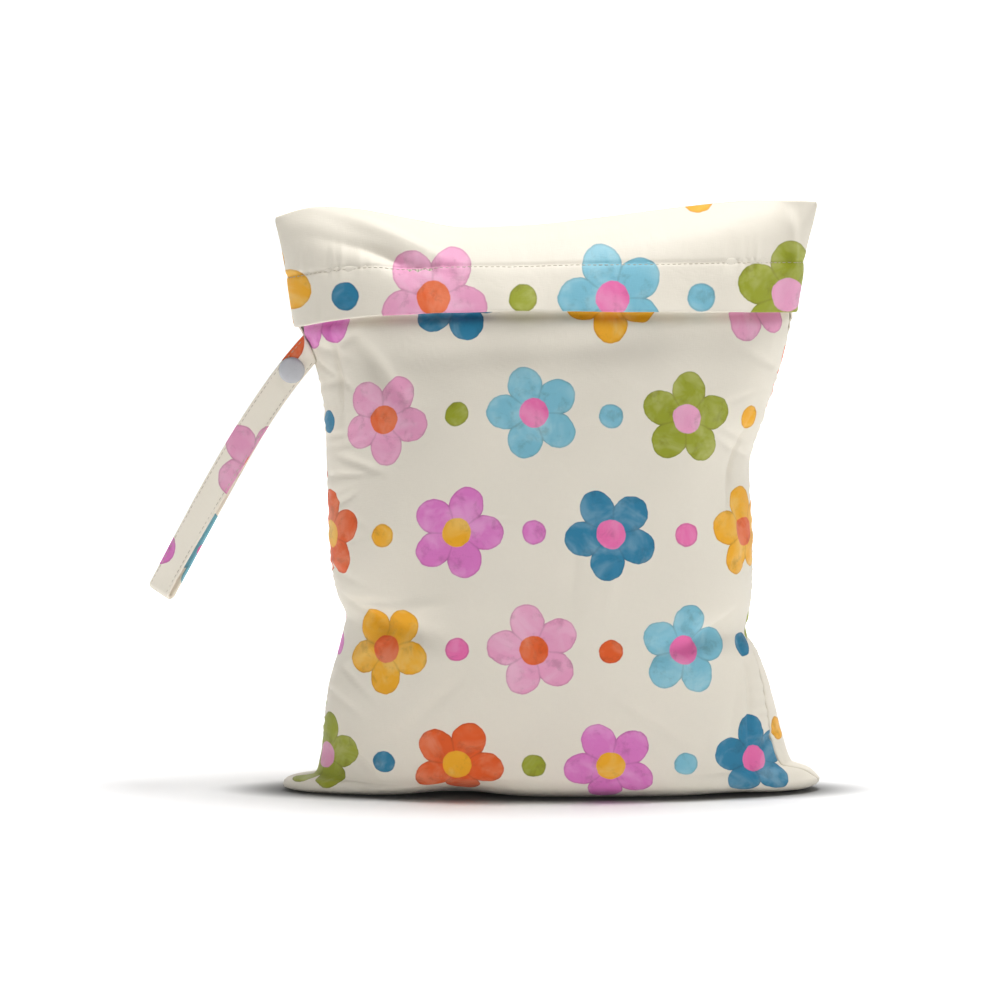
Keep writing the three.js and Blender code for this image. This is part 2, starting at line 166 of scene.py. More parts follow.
# Cross-sections from the base up, as shares of the bag's height, half width and half depth. point is 1
# for a full oval side and more for one that runs to an edge. seam_turn is in degrees.
SECTIONS = Table(
    "height left right front back point seam_turn",
    [
        [0.000, 0.935, 0.900, 0.46, 0.48, 0.90, 0],
        [0.006, 0.974, 0.972, 0.60, 0.64, 0.95, 0],
        [0.014, 0.958, 1.000, 0.70, 0.75, 1.05, 6],
        [0.020, 0.868, 0.990, 0.76, 0.80, 1.16, 9],
        [0.031, 0.848, 0.966, 0.81, 0.84, 1.24, 13],
        [0.044, 0.841, 0.898, 0.85, 0.88, 1.22, 18],
        [0.092, 0.829, 0.864, 0.91, 0.95, 1.12, 19],
        [0.180, 0.806, 0.820, 0.97, 1.00, 1.06, 16],
        [0.245, 0.770, 0.770, 0.98, 1.00, 1.05, 12],
        [0.285, 0.749, 0.726, 0.97, 0.98, 1.05, 8],
        [0.308, 0.741, 0.736, 0.97, 0.98, 1.05, 6],
        [0.345, 0.774, 0.750, 0.97, 0.97, 1.05, 3],
        [0.430, 0.800, 0.751, 0.95, 0.95, 1.02, 0],
        [0.575, 0.808, 0.735, 0.93, 0.92, 1.04, 0],
        [0.680, 0.820, 0.797, 0.92, 0.87, 1.12, 0],
        [0.763, 0.852, 0.852, 0.89, 0.77, 1.26, 0],
        [0.829, 0.918, 0.893, 0.86, 0.64, 1.38, 0],
        [0.872, 0.938, 0.914, 0.80, 0.54, 1.42, 0],
        [0.914, 0.956, 0.936, 0.70, 0.42, 1.45, 0],
        [0.945, 0.969, 0.950, 0.57, 0.31, 1.48, 0],
        [0.970, 0.982, 0.965, 0.38, 0.19, 1.50, 0],
        [1.000, 0.997, 0.980, 0.00, 0.00, 1.50, 0],
    ],
)

TOP_EDGE = Table(
    "across rise",
    [
        [-1.00, 0.022],
        [-0.86, 0.036],
        [-0.70, 0.032],
        [-0.50, 0.015],
        [-0.30, 0.000],
        [-0.10, 0.003],
        [0.15, 0.015],
        [0.50, 0.036],
        [0.78, 0.048],
        [1.00, 0.049],
    ],
)
TOP_EDGE_BLEND_FROM = 0.72

HEM_LINE = Table(
    "across height",
    [
        [-1.00, 0.823],
        [-0.90, 0.827],
        [-0.78, 0.834],
        [-0.55, 0.846],
        [-0.25, 0.859],
        [0.00, 0.857],
        [0.30, 0.849],
        [0.60, 0.842],
        [1.00, 0.837],
    ],
)

# Folds and hollows. across is a share of half the width, height, run and spread are shares of the bag's
# height, lean is in degrees from level, depth is a share of the bag's depth and negative for a ridge.
# sharp runs from 0, a soft hollow, to 1, a crease. face is 1 on the front and -1 on the back.
FOLDS = Table(
    "face across height lean run spread depth sharp",
    [
        [1, -0.72, 0.308, -12, 0.110, 0.022, 0.028, 0],
        [1, 0.66, 0.275, 14, 0.120, 0.022, 0.030, 0],
        [1, -0.70, 0.745, -58, 0.070, 0.020, 0.030, 0],
        [1, -0.10, 0.795, 2, 0.330, 0.030, 0.024, 0],
        [1, -0.36, 0.020, 0, 0.100, 0.020, 0.020, 0],
        [1, -0.60, 0.930, -24, 0.090, 0.020, 0.022, 0],
        [1, 0.90, 0.930, 84, 0.080, 0.018, 0.024, 0],
        [-1, -0.62, 0.300, 10, 0.150, 0.026, 0.030, 0],
        [-1, 0.64, 0.290, -12, 0.150, 0.026, 0.028, 0],
        [-1, 0.05, 0.810, 0, 0.300, 0.034, 0.026, 0],
        [1, -0.59, 0.968, -13, 0.100, 0.010, -0.022, 0.2],
        [1, -0.63, 0.936, -8, 0.100, 0.012, 0.032, 0.3],
        [1, 0.93, 0.960, 86, 0.090, 0.009, 0.020, 0.4],
        [1, -0.90, 0.750, 83, 0.080, 0.008, 0.032, 0.7],
        [1, -0.84, 0.800, 20, 0.040, 0.008, 0.016, 0.6],
        [1, 0.90, 0.580, 80, 0.080, 0.008, 0.024, 0.7],
        [1, 0.93, 0.470, 98, 0.090, 0.009, 0.016, 0.5],
        [1, -0.86, 0.318, -30, 0.045, 0.008, 0.026, 0.8],
        [1, -0.84, 0.270, 34, 0.060, 0.010, -0.012, 0.2],
        [1, -0.60, 0.345, 8, 0.060, 0.010, -0.010, 0.2],
        [1, 0.80, 0.300, 30, 0.060, 0.009, 0.018, 0.8],
        [1, -0.22, 0.500, -2, 0.090, 0.006, 0.006, 0.8],
        [1, 0.12, 0.400, 84, 0.080, 0.012, 0.008, 0.2],
        [1, 0.30, 0.390, 80, 0.070, 0.010, -0.008, 0.2],
        [1, 0.88, 0.150, 76, 0.110, 0.007, 0.020, 0.7],
        [1, 0.78, 0.120, 66, 0.080, 0.010, 0.010, 0.4],
        [1, -0.80, 0.060, -40, 0.050, 0.008, 0.018, 0.6],
        [1, -0.50, 0.180, 40, 0.090, 0.014, 0.008, 0.2],
        [1, 0.42, 0.150, -32, 0.100, 0.014, 0.008, 0.2],
        [1, 0.05, 0.650, 10, 0.120, 0.016, 0.008, 0.1],
        [1, 0.52, 0.700, -22, 0.090, 0.014, 0.010, 0.2],
        [-1, 0.80, 0.640, -76, 0.100, 0.010, 0.018, 0.6],
        [-1, -0.82, 0.560, 78, 0.100, 0.010, 0.018, 0.6],
        [-1, 0.10, 0.480, 4, 0.110, 0.010, 0.008, 0.6],
        [-1, -0.30, 0.180, 36, 0.100, 0.014, 0.009, 0.2],
        [-1, 0.40, 0.640, -20, 0.120, 0.016, 0.009, 0.2],
    ],
)


def scattered_creases(seed, count):
    """Small seeded creases that run in from the side seams on both faces."""
    choice = np.random.default_rng(seed)
    creases = []
    for face in (1, -1):
        for _ in range(count):
            side = choice.choice([-1, 1])
            creases.append(
                {
                    "face": face,
                    "across": side * choice.uniform(0.84, 0.98),
                    "height": choice.uniform(0.07, 0.80),
                    "lean": choice.uniform(-32, 32),
                    "run": choice.uniform(0.025, 0.065),
                    "spread": choice.uniform(0.005, 0.009),
                    "depth": choice.uniform(0.006, 0.018),
                    "sharp": choice.uniform(0.3, 0.8),
                }
            )
    return creases


CREASES = FOLDS.each() + scattered_creases(23, 26)

# Hollows of the front panel behind the flap's hem, and arches of its bottom edge, in metres
HEM_HOLLOWS = Table("reach depth", [[0.0028, 0.0040], [0.009, 0.0012]])
BOTTOM_ARCHES = Table("across reach rise", [[-0.049, 0.022, 0.0034], [0.100, 0.020, 0.0012]])

# Soft relief of the cloth, in metres
SEAM_PUCKER_REACH = 0.011
SEAM_PUCKER_PITCH = 0.0095
SEAM_PUCKER_DEPTH = 0.0009
SWELL = 0.0012
GATHER_REACH_BELOW = 0.005
GATHER_REACH_ABOVE = 0.012
GATHER_PITCH = 0.0064
GATHER_DEPTH = 0.0013
STITCH_GROOVE_DEPTH = 0.0007
STITCH_GROOVE_REACH = 0.0011
HEM_FLARE = 0.0022
HEM_FLARE_SWING = 0.0010
HEM_FLARE_REACH = 0.010
FLUSH_REACH = 0.018

# The upright fold beside the right ear: its place and reach as shares of half the bag's width
EAR_FOLD_ACROSS = 0.880
EAR_FOLD_REACH = 0.020
EAR_FOLD_DEPTH = 0.0026

OVAL_SQUARENESS = 0.86
STRAP_ROOT_ANGLE = math.radians(48)
STRAP_TIP_ANGLE = math.radians(61.8)
STRAP_TWIST_ANGLE = math.radians(36)
STRAP_BEND_POWER = 3
STRAP_SPREAD_SHARE = 0.6


def blend(value, low, high):
    """A smooth step from 0 at low to 1 at high."""
    t = np.clip((value - low) / (high - low), 0, 1)
    return t * t * (3 - 2 * t)


def mix(a, b, share):
    return a + (b - a) * share


def unevenness(across, up, seed, count=14):
    """Seeded, soft swellings between about -1 and 1 over a surface in metres, some 5 to 15 cm long."""
    choice = np.random.default_rng(seed)
    lengths = choice.uniform(0.05, 0.15, count)
    angles = choice.uniform(0, math.pi, count)
    starts = choice.uniform(0, 2 * math.pi, count)
    total = 0
    for size, angle, start in zip(lengths, angles, starts):
        along = across * math.cos(angle) + up * math.sin(angle)
        total = total + np.sin(2 * math.pi * along / size + start)
    return total / math.sqrt(count)


def wander(place, seed, count=7):
    """A smooth, seeded curve between about -1 and 1 along place, with waves around one unit long."""
    choice = np.random.default_rng(seed)
    waves = choice.uniform(0.45, 1.5, count)
    starts = choice.uniform(0, 2 * math.pi, count)
    return sum(np.sin(2 * math.pi * w * place + s) for w, s in zip(waves, starts)) / math.sqrt(count)


class BagShape:
    """Places on the stuffed bag, worked out from its sizes."""

    def __init__(self, sizes):
        self.s = sizes

    def body_point(self, turn, height):
        """The cloth's inside as a closed ring at each height. turn runs from the left seam at -90 degrees
        over the front at 0 to the right seam at 90 and the back at 180."""
        s = self.s
        turn, height = np.broadcast_arrays(turn, height)
        side, facing = np.sin(turn), np.cos(turn)
        width_share = np.where(side < 0, SECTIONS.read("left", height), SECTIONS.read("right", height))
        depth_share = np.where(facing > 0, SECTIONS.read("front", height), SECTIONS.read("back", height))
        half_width = width_share * s.bag_width / 2 - s.cloth_wall
        half_depth = depth_share * (s.bag_depth / 2 - s.cloth_wall)
        across = np.sign(side) * np.abs(side) ** OVAL_SQUARENESS
        rise = s.bag_height * TOP_EDGE.read("rise", across) * blend(height, TOP_EDGE_BLEND_FROM, 1)
        depth = half_depth * np.abs(facing) ** SECTIONS.read("point", height)
        up = s.cloth_wall + height * (s.bag_height - s.cloth_wall) + rise
        return np.stack([across * half_width, -np.sign(facing) * depth, up], -1)

    def height_share(self, up):
        """The share of the bag's height at which the side seam lies as high as up."""
        return (up - self.s.cloth_wall) / (self.s.bag_height - self.s.cloth_wall)

    def body_normal(self, turn, height, step=0.004):
        low, high = np.maximum(0, height - step), np.minimum(1, height + step)
        around = self.body_point(turn + step, height) - self.body_point(turn - step, height)
        upward = self.body_point(turn, high) - self.body_point(turn, low)
        normal = np.cross(around, upward)
        size = np.linalg.norm(normal, axis=-1, keepdims=True)
        return normal / np.where(size == 0, 1, size)

    def fold_depth(self, turn, height):
        """How deep the folds push the cloth in, at most into half of the room behind it."""
        s = self.s
        turn, height = np.broadcast_arrays(turn, height)
        side, facing = np.sin(turn), np.cos(turn)
        across = np.sign(side) * np.abs(side) ** OVAL_SQUARENESS
        depth = np.zeros(turn.shape)
        for fold in CREASES:
            dx = (across - fold["across"]) * s.bag_width / 2
            dz = (height - fold["height"]) * s.bag_height
            lean = math.radians(fold["lean"])
            along = (dx * math.cos(lean) + dz * math.sin(lean)) / (fold["run"] * s.bag_height)
            over = (dz * math.cos(lean) - dx * math.sin(lean)) / (fold["spread"] * s.bag_height)
            soft = np.exp(-over * over)
            crease = np.exp(-2 * (np.sqrt(over * over + 0.03) - math.sqrt(0.03)))
            profile = mix(soft, crease, fold["sharp"]) * np.exp(-along * along)
            depth += np.where(fold["face"] * facing > 0, fold["depth"] * s.bag_depth * profile, 0)
        room = np.abs(self.body_point(turn, height)[..., 1]) / 2
        safe = np.maximum(room, 1e-9)
        return np.where(room > 0, np.sign(depth) * safe * (1 - np.exp(-np.abs(depth) / safe)), 0)

    def cloth_point(self, turn, height, offset):
        """A place in the cloth, offset outwards from its inside."""
        push = offset - self.fold_depth(turn, height)
        return self.body_point(turn, height) + self.body_normal(turn, height) * push[..., None]

    def front_turn(self, place, height):
        """The front's place across, from -1 at the left seam to 1 at the right, as a turn of the ring."""
        right = math.pi / 2 - np.radians(SECTIONS.read("seam_turn", height))
        return mix(-math.pi / 2, right, (place + 1) / 2)

    def back_turn(self, place, height):
        right = math.pi / 2 - np.radians(SECTIONS.read("seam_turn", height))
        return mix(1.5 * math.pi, right, (place + 1) / 2)

    @property
    def lap(self):
        return self.s.cloth_wall + self.s.lap_gap

    def side_share(self, place):
        """1 at the side seams, where the layers of the flap run flush, and 0 further in."""
        return np.abs(place) ** 6

    def hem_at(self, place):
        across = np.sign(place) * np.abs(np.sin(place * math.pi / 2)) ** OVAL_SQUARENESS
        return HEM_LINE.read("height", across)

    def panel_top_at(self, place):
        return self.hem_at(place) + self.s.tuck / self.s.bag_height


# Strap and snap


class StrapShape:
    """Places on the wrist strap, which leaves the left side seam, folds at its far end and comes back."""

    def __init__(self, bag):
        self.bag = bag
        self.s = bag.s
        self.snap_region = (self.s.snap_from_root + self.s.snap_diameter) / self.s.strap_length
        root_height = bag.height_share(self.s.strap_root_height)
        root = bag.cloth_point(np.array(-math.pi / 2), np.array(root_height), np.array(self.s.cloth_wall))
        self.root = np.array([root[0], 0, root[2]])

    def lean(self, share):
        return mix(STRAP_ROOT_ANGLE, STRAP_TIP_ANGLE, 1 - (1 - share) ** STRAP_BEND_POWER)

    def frame(self, share, steps=60):
        """Centre, direction, width and front side of the strap at a share of its length."""
        angles = self.lean((np.arange(steps) + 0.5) / steps * share)
        run = self.s.strap_length * share / steps
        centre = self.root - np.array([np.cos(angles).sum() * run, 0, np.sin(angles).sum() * run])
        angle = self.lean(share)
        along = np.array([-math.cos(angle), 0, -math.sin(angle)])
        level = np.array([math.sin(angle), 0, -math.cos(angle)])
        twist = STRAP_TWIST_ANGLE * float(blend(share, self.snap_region, 1))
        front = np.array([0, -math.cos(twist), 0]) - level * math.sin(twist)
        wide = level * math.cos(twist) - np.array([0, math.sin(twist), 0])
        return centre, along, wide, front

    def middle(self, share, across):
        centre, along, wide, _ = self.frame(max(0, share))
        return centre + along * min(0, share) * self.s.strap_length + wide * across * self.s.strap_width / 2

    def start(self, across):
        """Where the strap starts, so that it ends just clear of the bag's side seam."""
        low, high = -self.s.strap_width / self.s.strap_length, self.s.strap_width / self.s.strap_length
        for _ in range(24):
            share = (low + high) / 2
            point = self.middle(share, across)
            height = self.bag.height_share(point[2])
            offset = np.array(self.s.cloth_wall + self.s.seat_gap)
            side = self.bag.cloth_point(np.array(-math.pi / 2), np.array(height), offset)
            low, high = (share, high) if point[0] > side[0] else (low, share)
        return high

    def half_spread(self, share):
        opened = blend(share, self.snap_region, STRAP_SPREAD_SHARE)
        clear = mix(self.s.strap_gap_at_snap, self.s.strap_gap_at_fold, opened)
        return (clear + self.s.strap_wall) / 2

    def layer_point(self, share, across, side, lift):
        """A place lift away from the middle of the front layer, side 1, or of the rear one, side -1."""
        front = self.frame(max(0, share))[3]
        return self.middle(share, across) + front * side * (self.half_spread(share) + lift)

    def fold_point(self, angle, across, lift):
        _, along, _, front = self.frame(1)
        radius = self.half_spread(1) + lift
        return self.middle(1, across) + front * radius * math.cos(angle) + along * radius * math.sin(angle)


# Meshes


def finish_mesh(name, mesh, material, smooth_angle=None):
    """Makes a piece of a mesh: closed, facing outwards, riding on the bag and with its material."""
    piece = bpy.data.objects.new(name, mesh)
    bpy.context.scene.collection.objects.link(piece)
    mesh.materials.clear()
    mesh.materials.append(material)
    mesh.shade_smooth()
    if smooth_angle:
        mesh.set_sharp_from_angle(angle=smooth_angle)
    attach(piece, BODY)
    return piece


def sheet_mesh(name, inner, outer, flat):
    """A closed sheet from grids of points on its two faces and their places on the flat cloth."""
    rows, columns = outer.shape[:2]
    count = rows * columns
    index = np.arange(count).reshape(rows, columns)
    a, b, c, d = index[:-1, :-1], index[:-1, 1:], index[1:, 1:], index[1:, :-1]
    front = np.stack([a, b, c, d], -1).reshape(-1, 4)
    back = np.stack([a, d, c, b], -1).reshape(-1, 4) + count
    low, high, left, right = index[0], index[-1], index[:, 0], index[:, -1]
    rims = [
        np.stack([low[1:], low[:-1], low[:-1] + count, low[1:] + count], -1),
        np.stack([high[:-1], high[1:], high[1:] + count, high[:-1] + count], -1),
        np.stack([left[:-1], left[1:], left[1:] + count, left[:-1] + count], -1),
        np.stack([right[1:], right[:-1], right[:-1] + count, right[1:] + count], -1),
    ]
    faces = np.concatenate([front, back, *rims])
    points = np.concatenate([outer.reshape(-1, 3), inner.reshape(-1, 3)])
    places = np.concatenate([flat.reshape(-1, 2)] * 2)
    mesh = bpy.data.meshes.new(name)
    mesh.from_pydata(points.tolist(), [], faces.tolist())
    layer = mesh.uv_layers.new(name="cloth")
    layer.data.foreach_set("uv", places[faces.reshape(-1)].astype(np.float32).ravel())
    shape = bmesh.new()
    shape.from_mesh(mesh)
    bmesh.ops.remove_doubles(shape, verts=shape.verts, dist=1e-6)
    if shape.calc_volume(signed=True) < 0:
        bmesh.ops.reverse_faces(shape, faces=shape.faces)
    shape.to_mesh(mesh)
    shape.free()
    return mesh


def spread_places(count, fine=3):
    """Places from -1 to 1 with a few closer together at both ends, where a seam rounds off."""
    even = np.linspace(-1, 1, count)
    step = (even[1] - even[0]) / (fine + 1)
    near = np.arange(1, fine + 1) * step
    return np.sort(np.concatenate([even, -1 + near, 1 - near]))


def flat_places(outer, gauge):
    """Each grid point's place on the flat cloth, across from and up along the line where gauge is 0."""
    steps = np.linalg.norm(np.diff(outer, axis=1), axis=-1)
    across = np.concatenate([np.zeros((len(outer), 1)), np.cumsum(steps, 1)], 1)
    gauge = np.broadcast_to(gauge, across.shape)
    right = np.argmax(gauge > 0, axis=1)
    rows = np.arange(len(outer))
    before, after = gauge[rows, right - 1], gauge[rows, right]
    share = -before / (after - before)
    middle = mix(outer[rows, right - 1], outer[rows, right], share[:, None])
    across = across - mix(across[rows, right - 1], across[rows, right], share)[:, None]
    up = np.concatenate([[0], np.cumsum(np.linalg.norm(np.diff(middle, axis=0), axis=-1))])
    return np.stack([across, np.broadcast_to(up[:, None], across.shape)], -1)


def seam_distance(points):
    """Each grid point's distance along its row from the nearer side seam."""
    steps = np.linalg.norm(np.diff(points, axis=1), axis=-1)
    across = np.concatenate([np.zeros((len(points), 1)), np.cumsum(steps, 1)], 1)
    return np.minimum(across, across[:, -1:] - across)


def puckers(distance, along, reach, pitch, depth, seed):
    """Small ripples across a seam that fade with distance from it."""
    phase = along / pitch + 0.6 * wander(along / (4 * pitch), seed)
    ripple = 0.5 + 0.5 * np.sin(2 * math.pi * phase)
    strength = 0.70 + 0.40 * wander(along / (7 * pitch), seed + 1)
    return depth * ripple * np.clip(strength, 0, 1) * np.exp(-((distance / reach) ** 2))


def rounded_edge(bag, distance):
    """How far a panel's outer face sinks near its side seams, where its edge rounds off."""
    roll = np.clip(distance / bag.s.seam_roll, 0, 1)
    return bag.s.cloth_wall * (1 - np.sqrt(1 - (1 - roll) ** 2))


def tuck_shift(bag, place, height):
    """How far the front panel is shifted, so that it runs flush at the sides and hollow behind the hem."""
    hem = bag.hem_at(place)
    side = bag.side_share(place)
    flush = bag.lap * side * blend(height, hem - FLUSH_REACH / bag.s.bag_height, hem)
    over_hem = (height - hem) * bag.s.bag_height
    recess = sum(h["depth"] * np.exp(-((over_hem / h["reach"]) ** 2)) for h in HEM_HOLLOWS.each())
    return -flush - recess * (1 - side)


def no_shift(_, place, height):
    return np.zeros(np.broadcast(place, height).shape)


def bottom_arches(x):
    """How far the front panel's bottom edge rises off the ground."""
    return sum(a["rise"] * np.exp(-(((x - a["across"]) / a["reach"]) ** 2)) for a in BOTTOM_ARCHES.each())


def level_bottom(x):
    return np.zeros(x.shape)


def full_height(place):
    return np.ones(np.shape(place))


PANEL_COLUMNS = 176
PANEL_ROWS = 168
BASE_ROWS = 14
# Shares of the rows and of the height that the small lower corners take up
CORNER_ROWS = 0.12
CORNER_HEIGHT = 0.06


def base_grid(bag, places, edge, seam_side, up):
    """The rows of a panel from the bottom seam across the flat base to the first row of its wall."""
    s = bag.s
    back_edge = bag.body_point(bag.back_turn(places, 0), 0)
    seam_share = s.bottom_seam_shift / (SECTIONS.read("back", 0) * (s.bag_depth / 2 - s.cloth_wall))
    seam_y = back_edge[:, 1] * seam_share + seam_side * s.seam_gap / 2
    seam_y = np.where(np.abs(places) == 1, edge[:, 1], seam_y)
    run = np.linspace(0, 1, BASE_ROWS, endpoint=False)[:, None]
    base = np.empty((BASE_ROWS, len(places), 3))
    base[..., 0] = edge[:, 0]
    base[..., 1] = mix(seam_y[None, :], edge[None, :, 1], run)
    base[..., 2] = up
    return base


def panel_grids(bag, turn_at, seam_side, top_at, shift_at, edge_lift, seed):
    """Outer and inner points of a sewn panel, from the bottom seam across the flat base and up."""
    s = bag.s
    places = spread_places(PANEL_COLUMNS)
    share = np.linspace(0, 1, PANEL_ROWS)[:, None]
    wall_share = (share - CORNER_ROWS) / (1 - CORNER_ROWS)
    corner = share / CORNER_ROWS * CORNER_HEIGHT
    eased = np.where(share < CORNER_ROWS, corner, mix(CORNER_HEIGHT, 1, wall_share))
    height = eased * top_at(places)[None, :]
    turn = turn_at(places[None, :], height)
    shift = shift_at(bag, places[None, :], height)
    bare = bag.cloth_point(turn, height, shift + s.cloth_wall)
    distance = seam_distance(bare)
    up = bare[..., 2]
    ripple = puckers(distance, up, SEAM_PUCKER_REACH, SEAM_PUCKER_PITCH, SEAM_PUCKER_DEPTH, seed)
    ripple = ripple * blend(height, 0.02, 0.08)
    swell = SWELL * unevenness(flat_places(bare, bare[..., 0])[..., 0], up, seed + 2)
    swell = swell * blend(distance, 0.004, 0.03) * blend(height, 0.03, 0.15)
    inner_offset = shift - ripple + swell
    outer_offset = shift + s.cloth_wall - rounded_edge(bag, distance) - ripple + swell
    row_share = np.concatenate([np.linspace(0, 1, BASE_ROWS) ** 3, 1 - blend(eased[:, 0], 0, 0.05)])
    grids = []
    for offset, base_up in ((outer_offset, 0), (inner_offset, s.cloth_wall)):
        wall = bag.cloth_point(turn, height, offset)
        wall[..., 1] += seam_side * s.seam_gap / 2
        grid = np.concatenate([base_grid(bag, places, wall[0], seam_side, base_up), wall])
        if base_up == 0:
            grid[..., 2] = np.maximum(grid[..., 2], 0)
        grid[..., 2] += edge_lift(grid[..., 0]) * row_share[:, None]
        grids.append(grid)
    outer, inner = grids
    # the print is laid out on the cloth as it is without the tuck, so that no petal smears into it
    plain = bag.cloth_point(turn, height, np.full(height.shape, s.cloth_wall))
    printed = np.concatenate([outer[:BASE_ROWS], plain])
    return outer, inner, flat_places(printed, printed[..., 0])


BAND_ROWS = 62
HEM_ROWS = 7
# The room above the front panel's top edge that the zip takes up
ZIP_ROOM = 0.014


def gathered_cloth(bag, bare, from_line):
    """How far the band's outer face sinks in its gathers, and in the groove of its stitch line."""
    across = bare[..., 0] / (bag.s.bag_width / 2)
    reach = mix(GATHER_REACH_BELOW, GATHER_REACH_ABOVE, blend(from_line, -0.004, 0.010))
    strong = 0.35 + 0.65 * np.clip(blend(-across, 0.25, 0.5) + blend(across, 0.45, 0.7), 0, 1)
    gathers = puckers(from_line, bare[..., 0], reach, GATHER_PITCH, GATHER_DEPTH, 31) * strong
    groove = STITCH_GROOVE_DEPTH * np.exp(-((from_line / STITCH_GROOVE_REACH) ** 2))
    return gathers, groove


def band_grids(bag):
    """Outer and inner points of the top band, from the rounded hem of the flap up to the top edge."""
    s = bag.s
    places = spread_places(PANEL_COLUMNS)[None, :]
    hem = bag.hem_at(places)
    side = bag.side_share(places)
    radius = s.hem_wall / 2
    round_share = np.linspace(0, 1, HEM_ROWS)[:, None]
    rise_round = radius * (1 - np.cos(round_share * math.pi / 2)) / s.bag_height
    rise_rest = np.linspace(0, 1, BAND_ROWS)[1:, None]
    first = hem + radius / s.bag_height
    height = np.concatenate([hem + rise_round + 0 * hem, mix(first, 1, rise_rest)])
    full = np.concatenate([np.sin(round_share * math.pi / 2), np.ones((BAND_ROWS - 1, 1))])
    turn = bag.front_turn(places, height)
    lap = bag.lap * (1 - side)
    flap_end = bag.panel_top_at(places) + (ZIP_ROOM + 2 * s.seam_gap) / s.bag_height
    under = lap * (1 - blend(height, flap_end, flap_end + 0.008))
    over = mix(lap + s.hem_wall, s.cloth_wall, blend(height, first, 1))
    centre = (under + over) / 2
    half = (over - under) / 2 * full

    bare = bag.cloth_point(turn, height, over)
    across = bare[..., 0] / (s.bag_width / 2)
    steps = np.linalg.norm(np.diff(bare, axis=0), axis=-1)
    from_hem = np.concatenate([0 * hem, np.cumsum(steps, 0)])
    gathers, groove = gathered_cloth(bag, bare, from_hem - s.band_stitch_height)
    flare = HEM_FLARE + HEM_FLARE_SWING * wander(across * 2.6, 41)
    hem_wave = flare * np.exp(-from_hem / HEM_FLARE_REACH) * (1 - side)
    ear_ridge = np.exp(-(((across - EAR_FOLD_ACROSS) / EAR_FOLD_REACH) ** 2))
    ear_fold = EAR_FOLD_DEPTH * ear_ridge * blend(height, 0.88, 0.93) * (1 - blend(height, 0.955, 0.995))
    above_zip = blend(height, flap_end, flap_end + 0.012)
    sink = gathers + groove + rounded_edge(bag, seam_distance(bare))
    outer = bag.cloth_point(turn, height, centre + half - sink + hem_wave + ear_fold)
    lift = hem_wave + 0.5 * ear_fold - 0.6 * gathers * above_zip
    inner = bag.cloth_point(turn, height, centre - half + lift)
    for grid in (outer, inner):
        grid[..., 1] -= s.seam_gap / 2
    # the print is laid on from the front, so that it reads evenly there on the sloping flap
    return outer, inner, outer[..., (0, 2)]


# Materials


class Wire:
    """A number or vector that a shader socket carries, so that maths on it reads as an expression."""

    def __init__(self, paint, socket):
        self.paint = paint
        self.socket = socket

    def maths(self, operation, *values):
        return self.paint.node("ShaderNodeMath", {"operation": operation}, dict(enumerate(values)))

    def __add__(self, other):
        return self.maths("ADD", self, other)

    def __radd__(self, other):
        return self.maths("ADD", other, self)

    def __sub__(self, other):
        return self.maths("SUBTRACT", self, other)

    def __rsub__(self, other):
        return self.maths("SUBTRACT", other, self)

    def __mul__(self, other):
        return self.maths("MULTIPLY", self, other)

    def __rmul__(self, other):
        return self.maths("MULTIPLY", other, self)

    def __truediv__(self, other):
        return self.maths("DIVIDE", self, other)

    def root(self):
        return self.maths("SQRT", self)

    def floor(self):
        return self.maths("FLOOR", self)

    def least(self, other):
        return self.maths("MINIMUM", self, other)

    def most(self, other):
        return self.maths("MAXIMUM", self, other)

    def modulo(self, other):
        return self.maths("FLOORED_MODULO", self, other)

    def step(self, low, high):
        """A smooth step from 0 at low to 1 at high."""
        values = {"Value": self, "From Min": low, "From Max": high}
        return self.paint.node("ShaderNodeMapRange", {"interpolation_type": "SMOOTHSTEP"}, values)


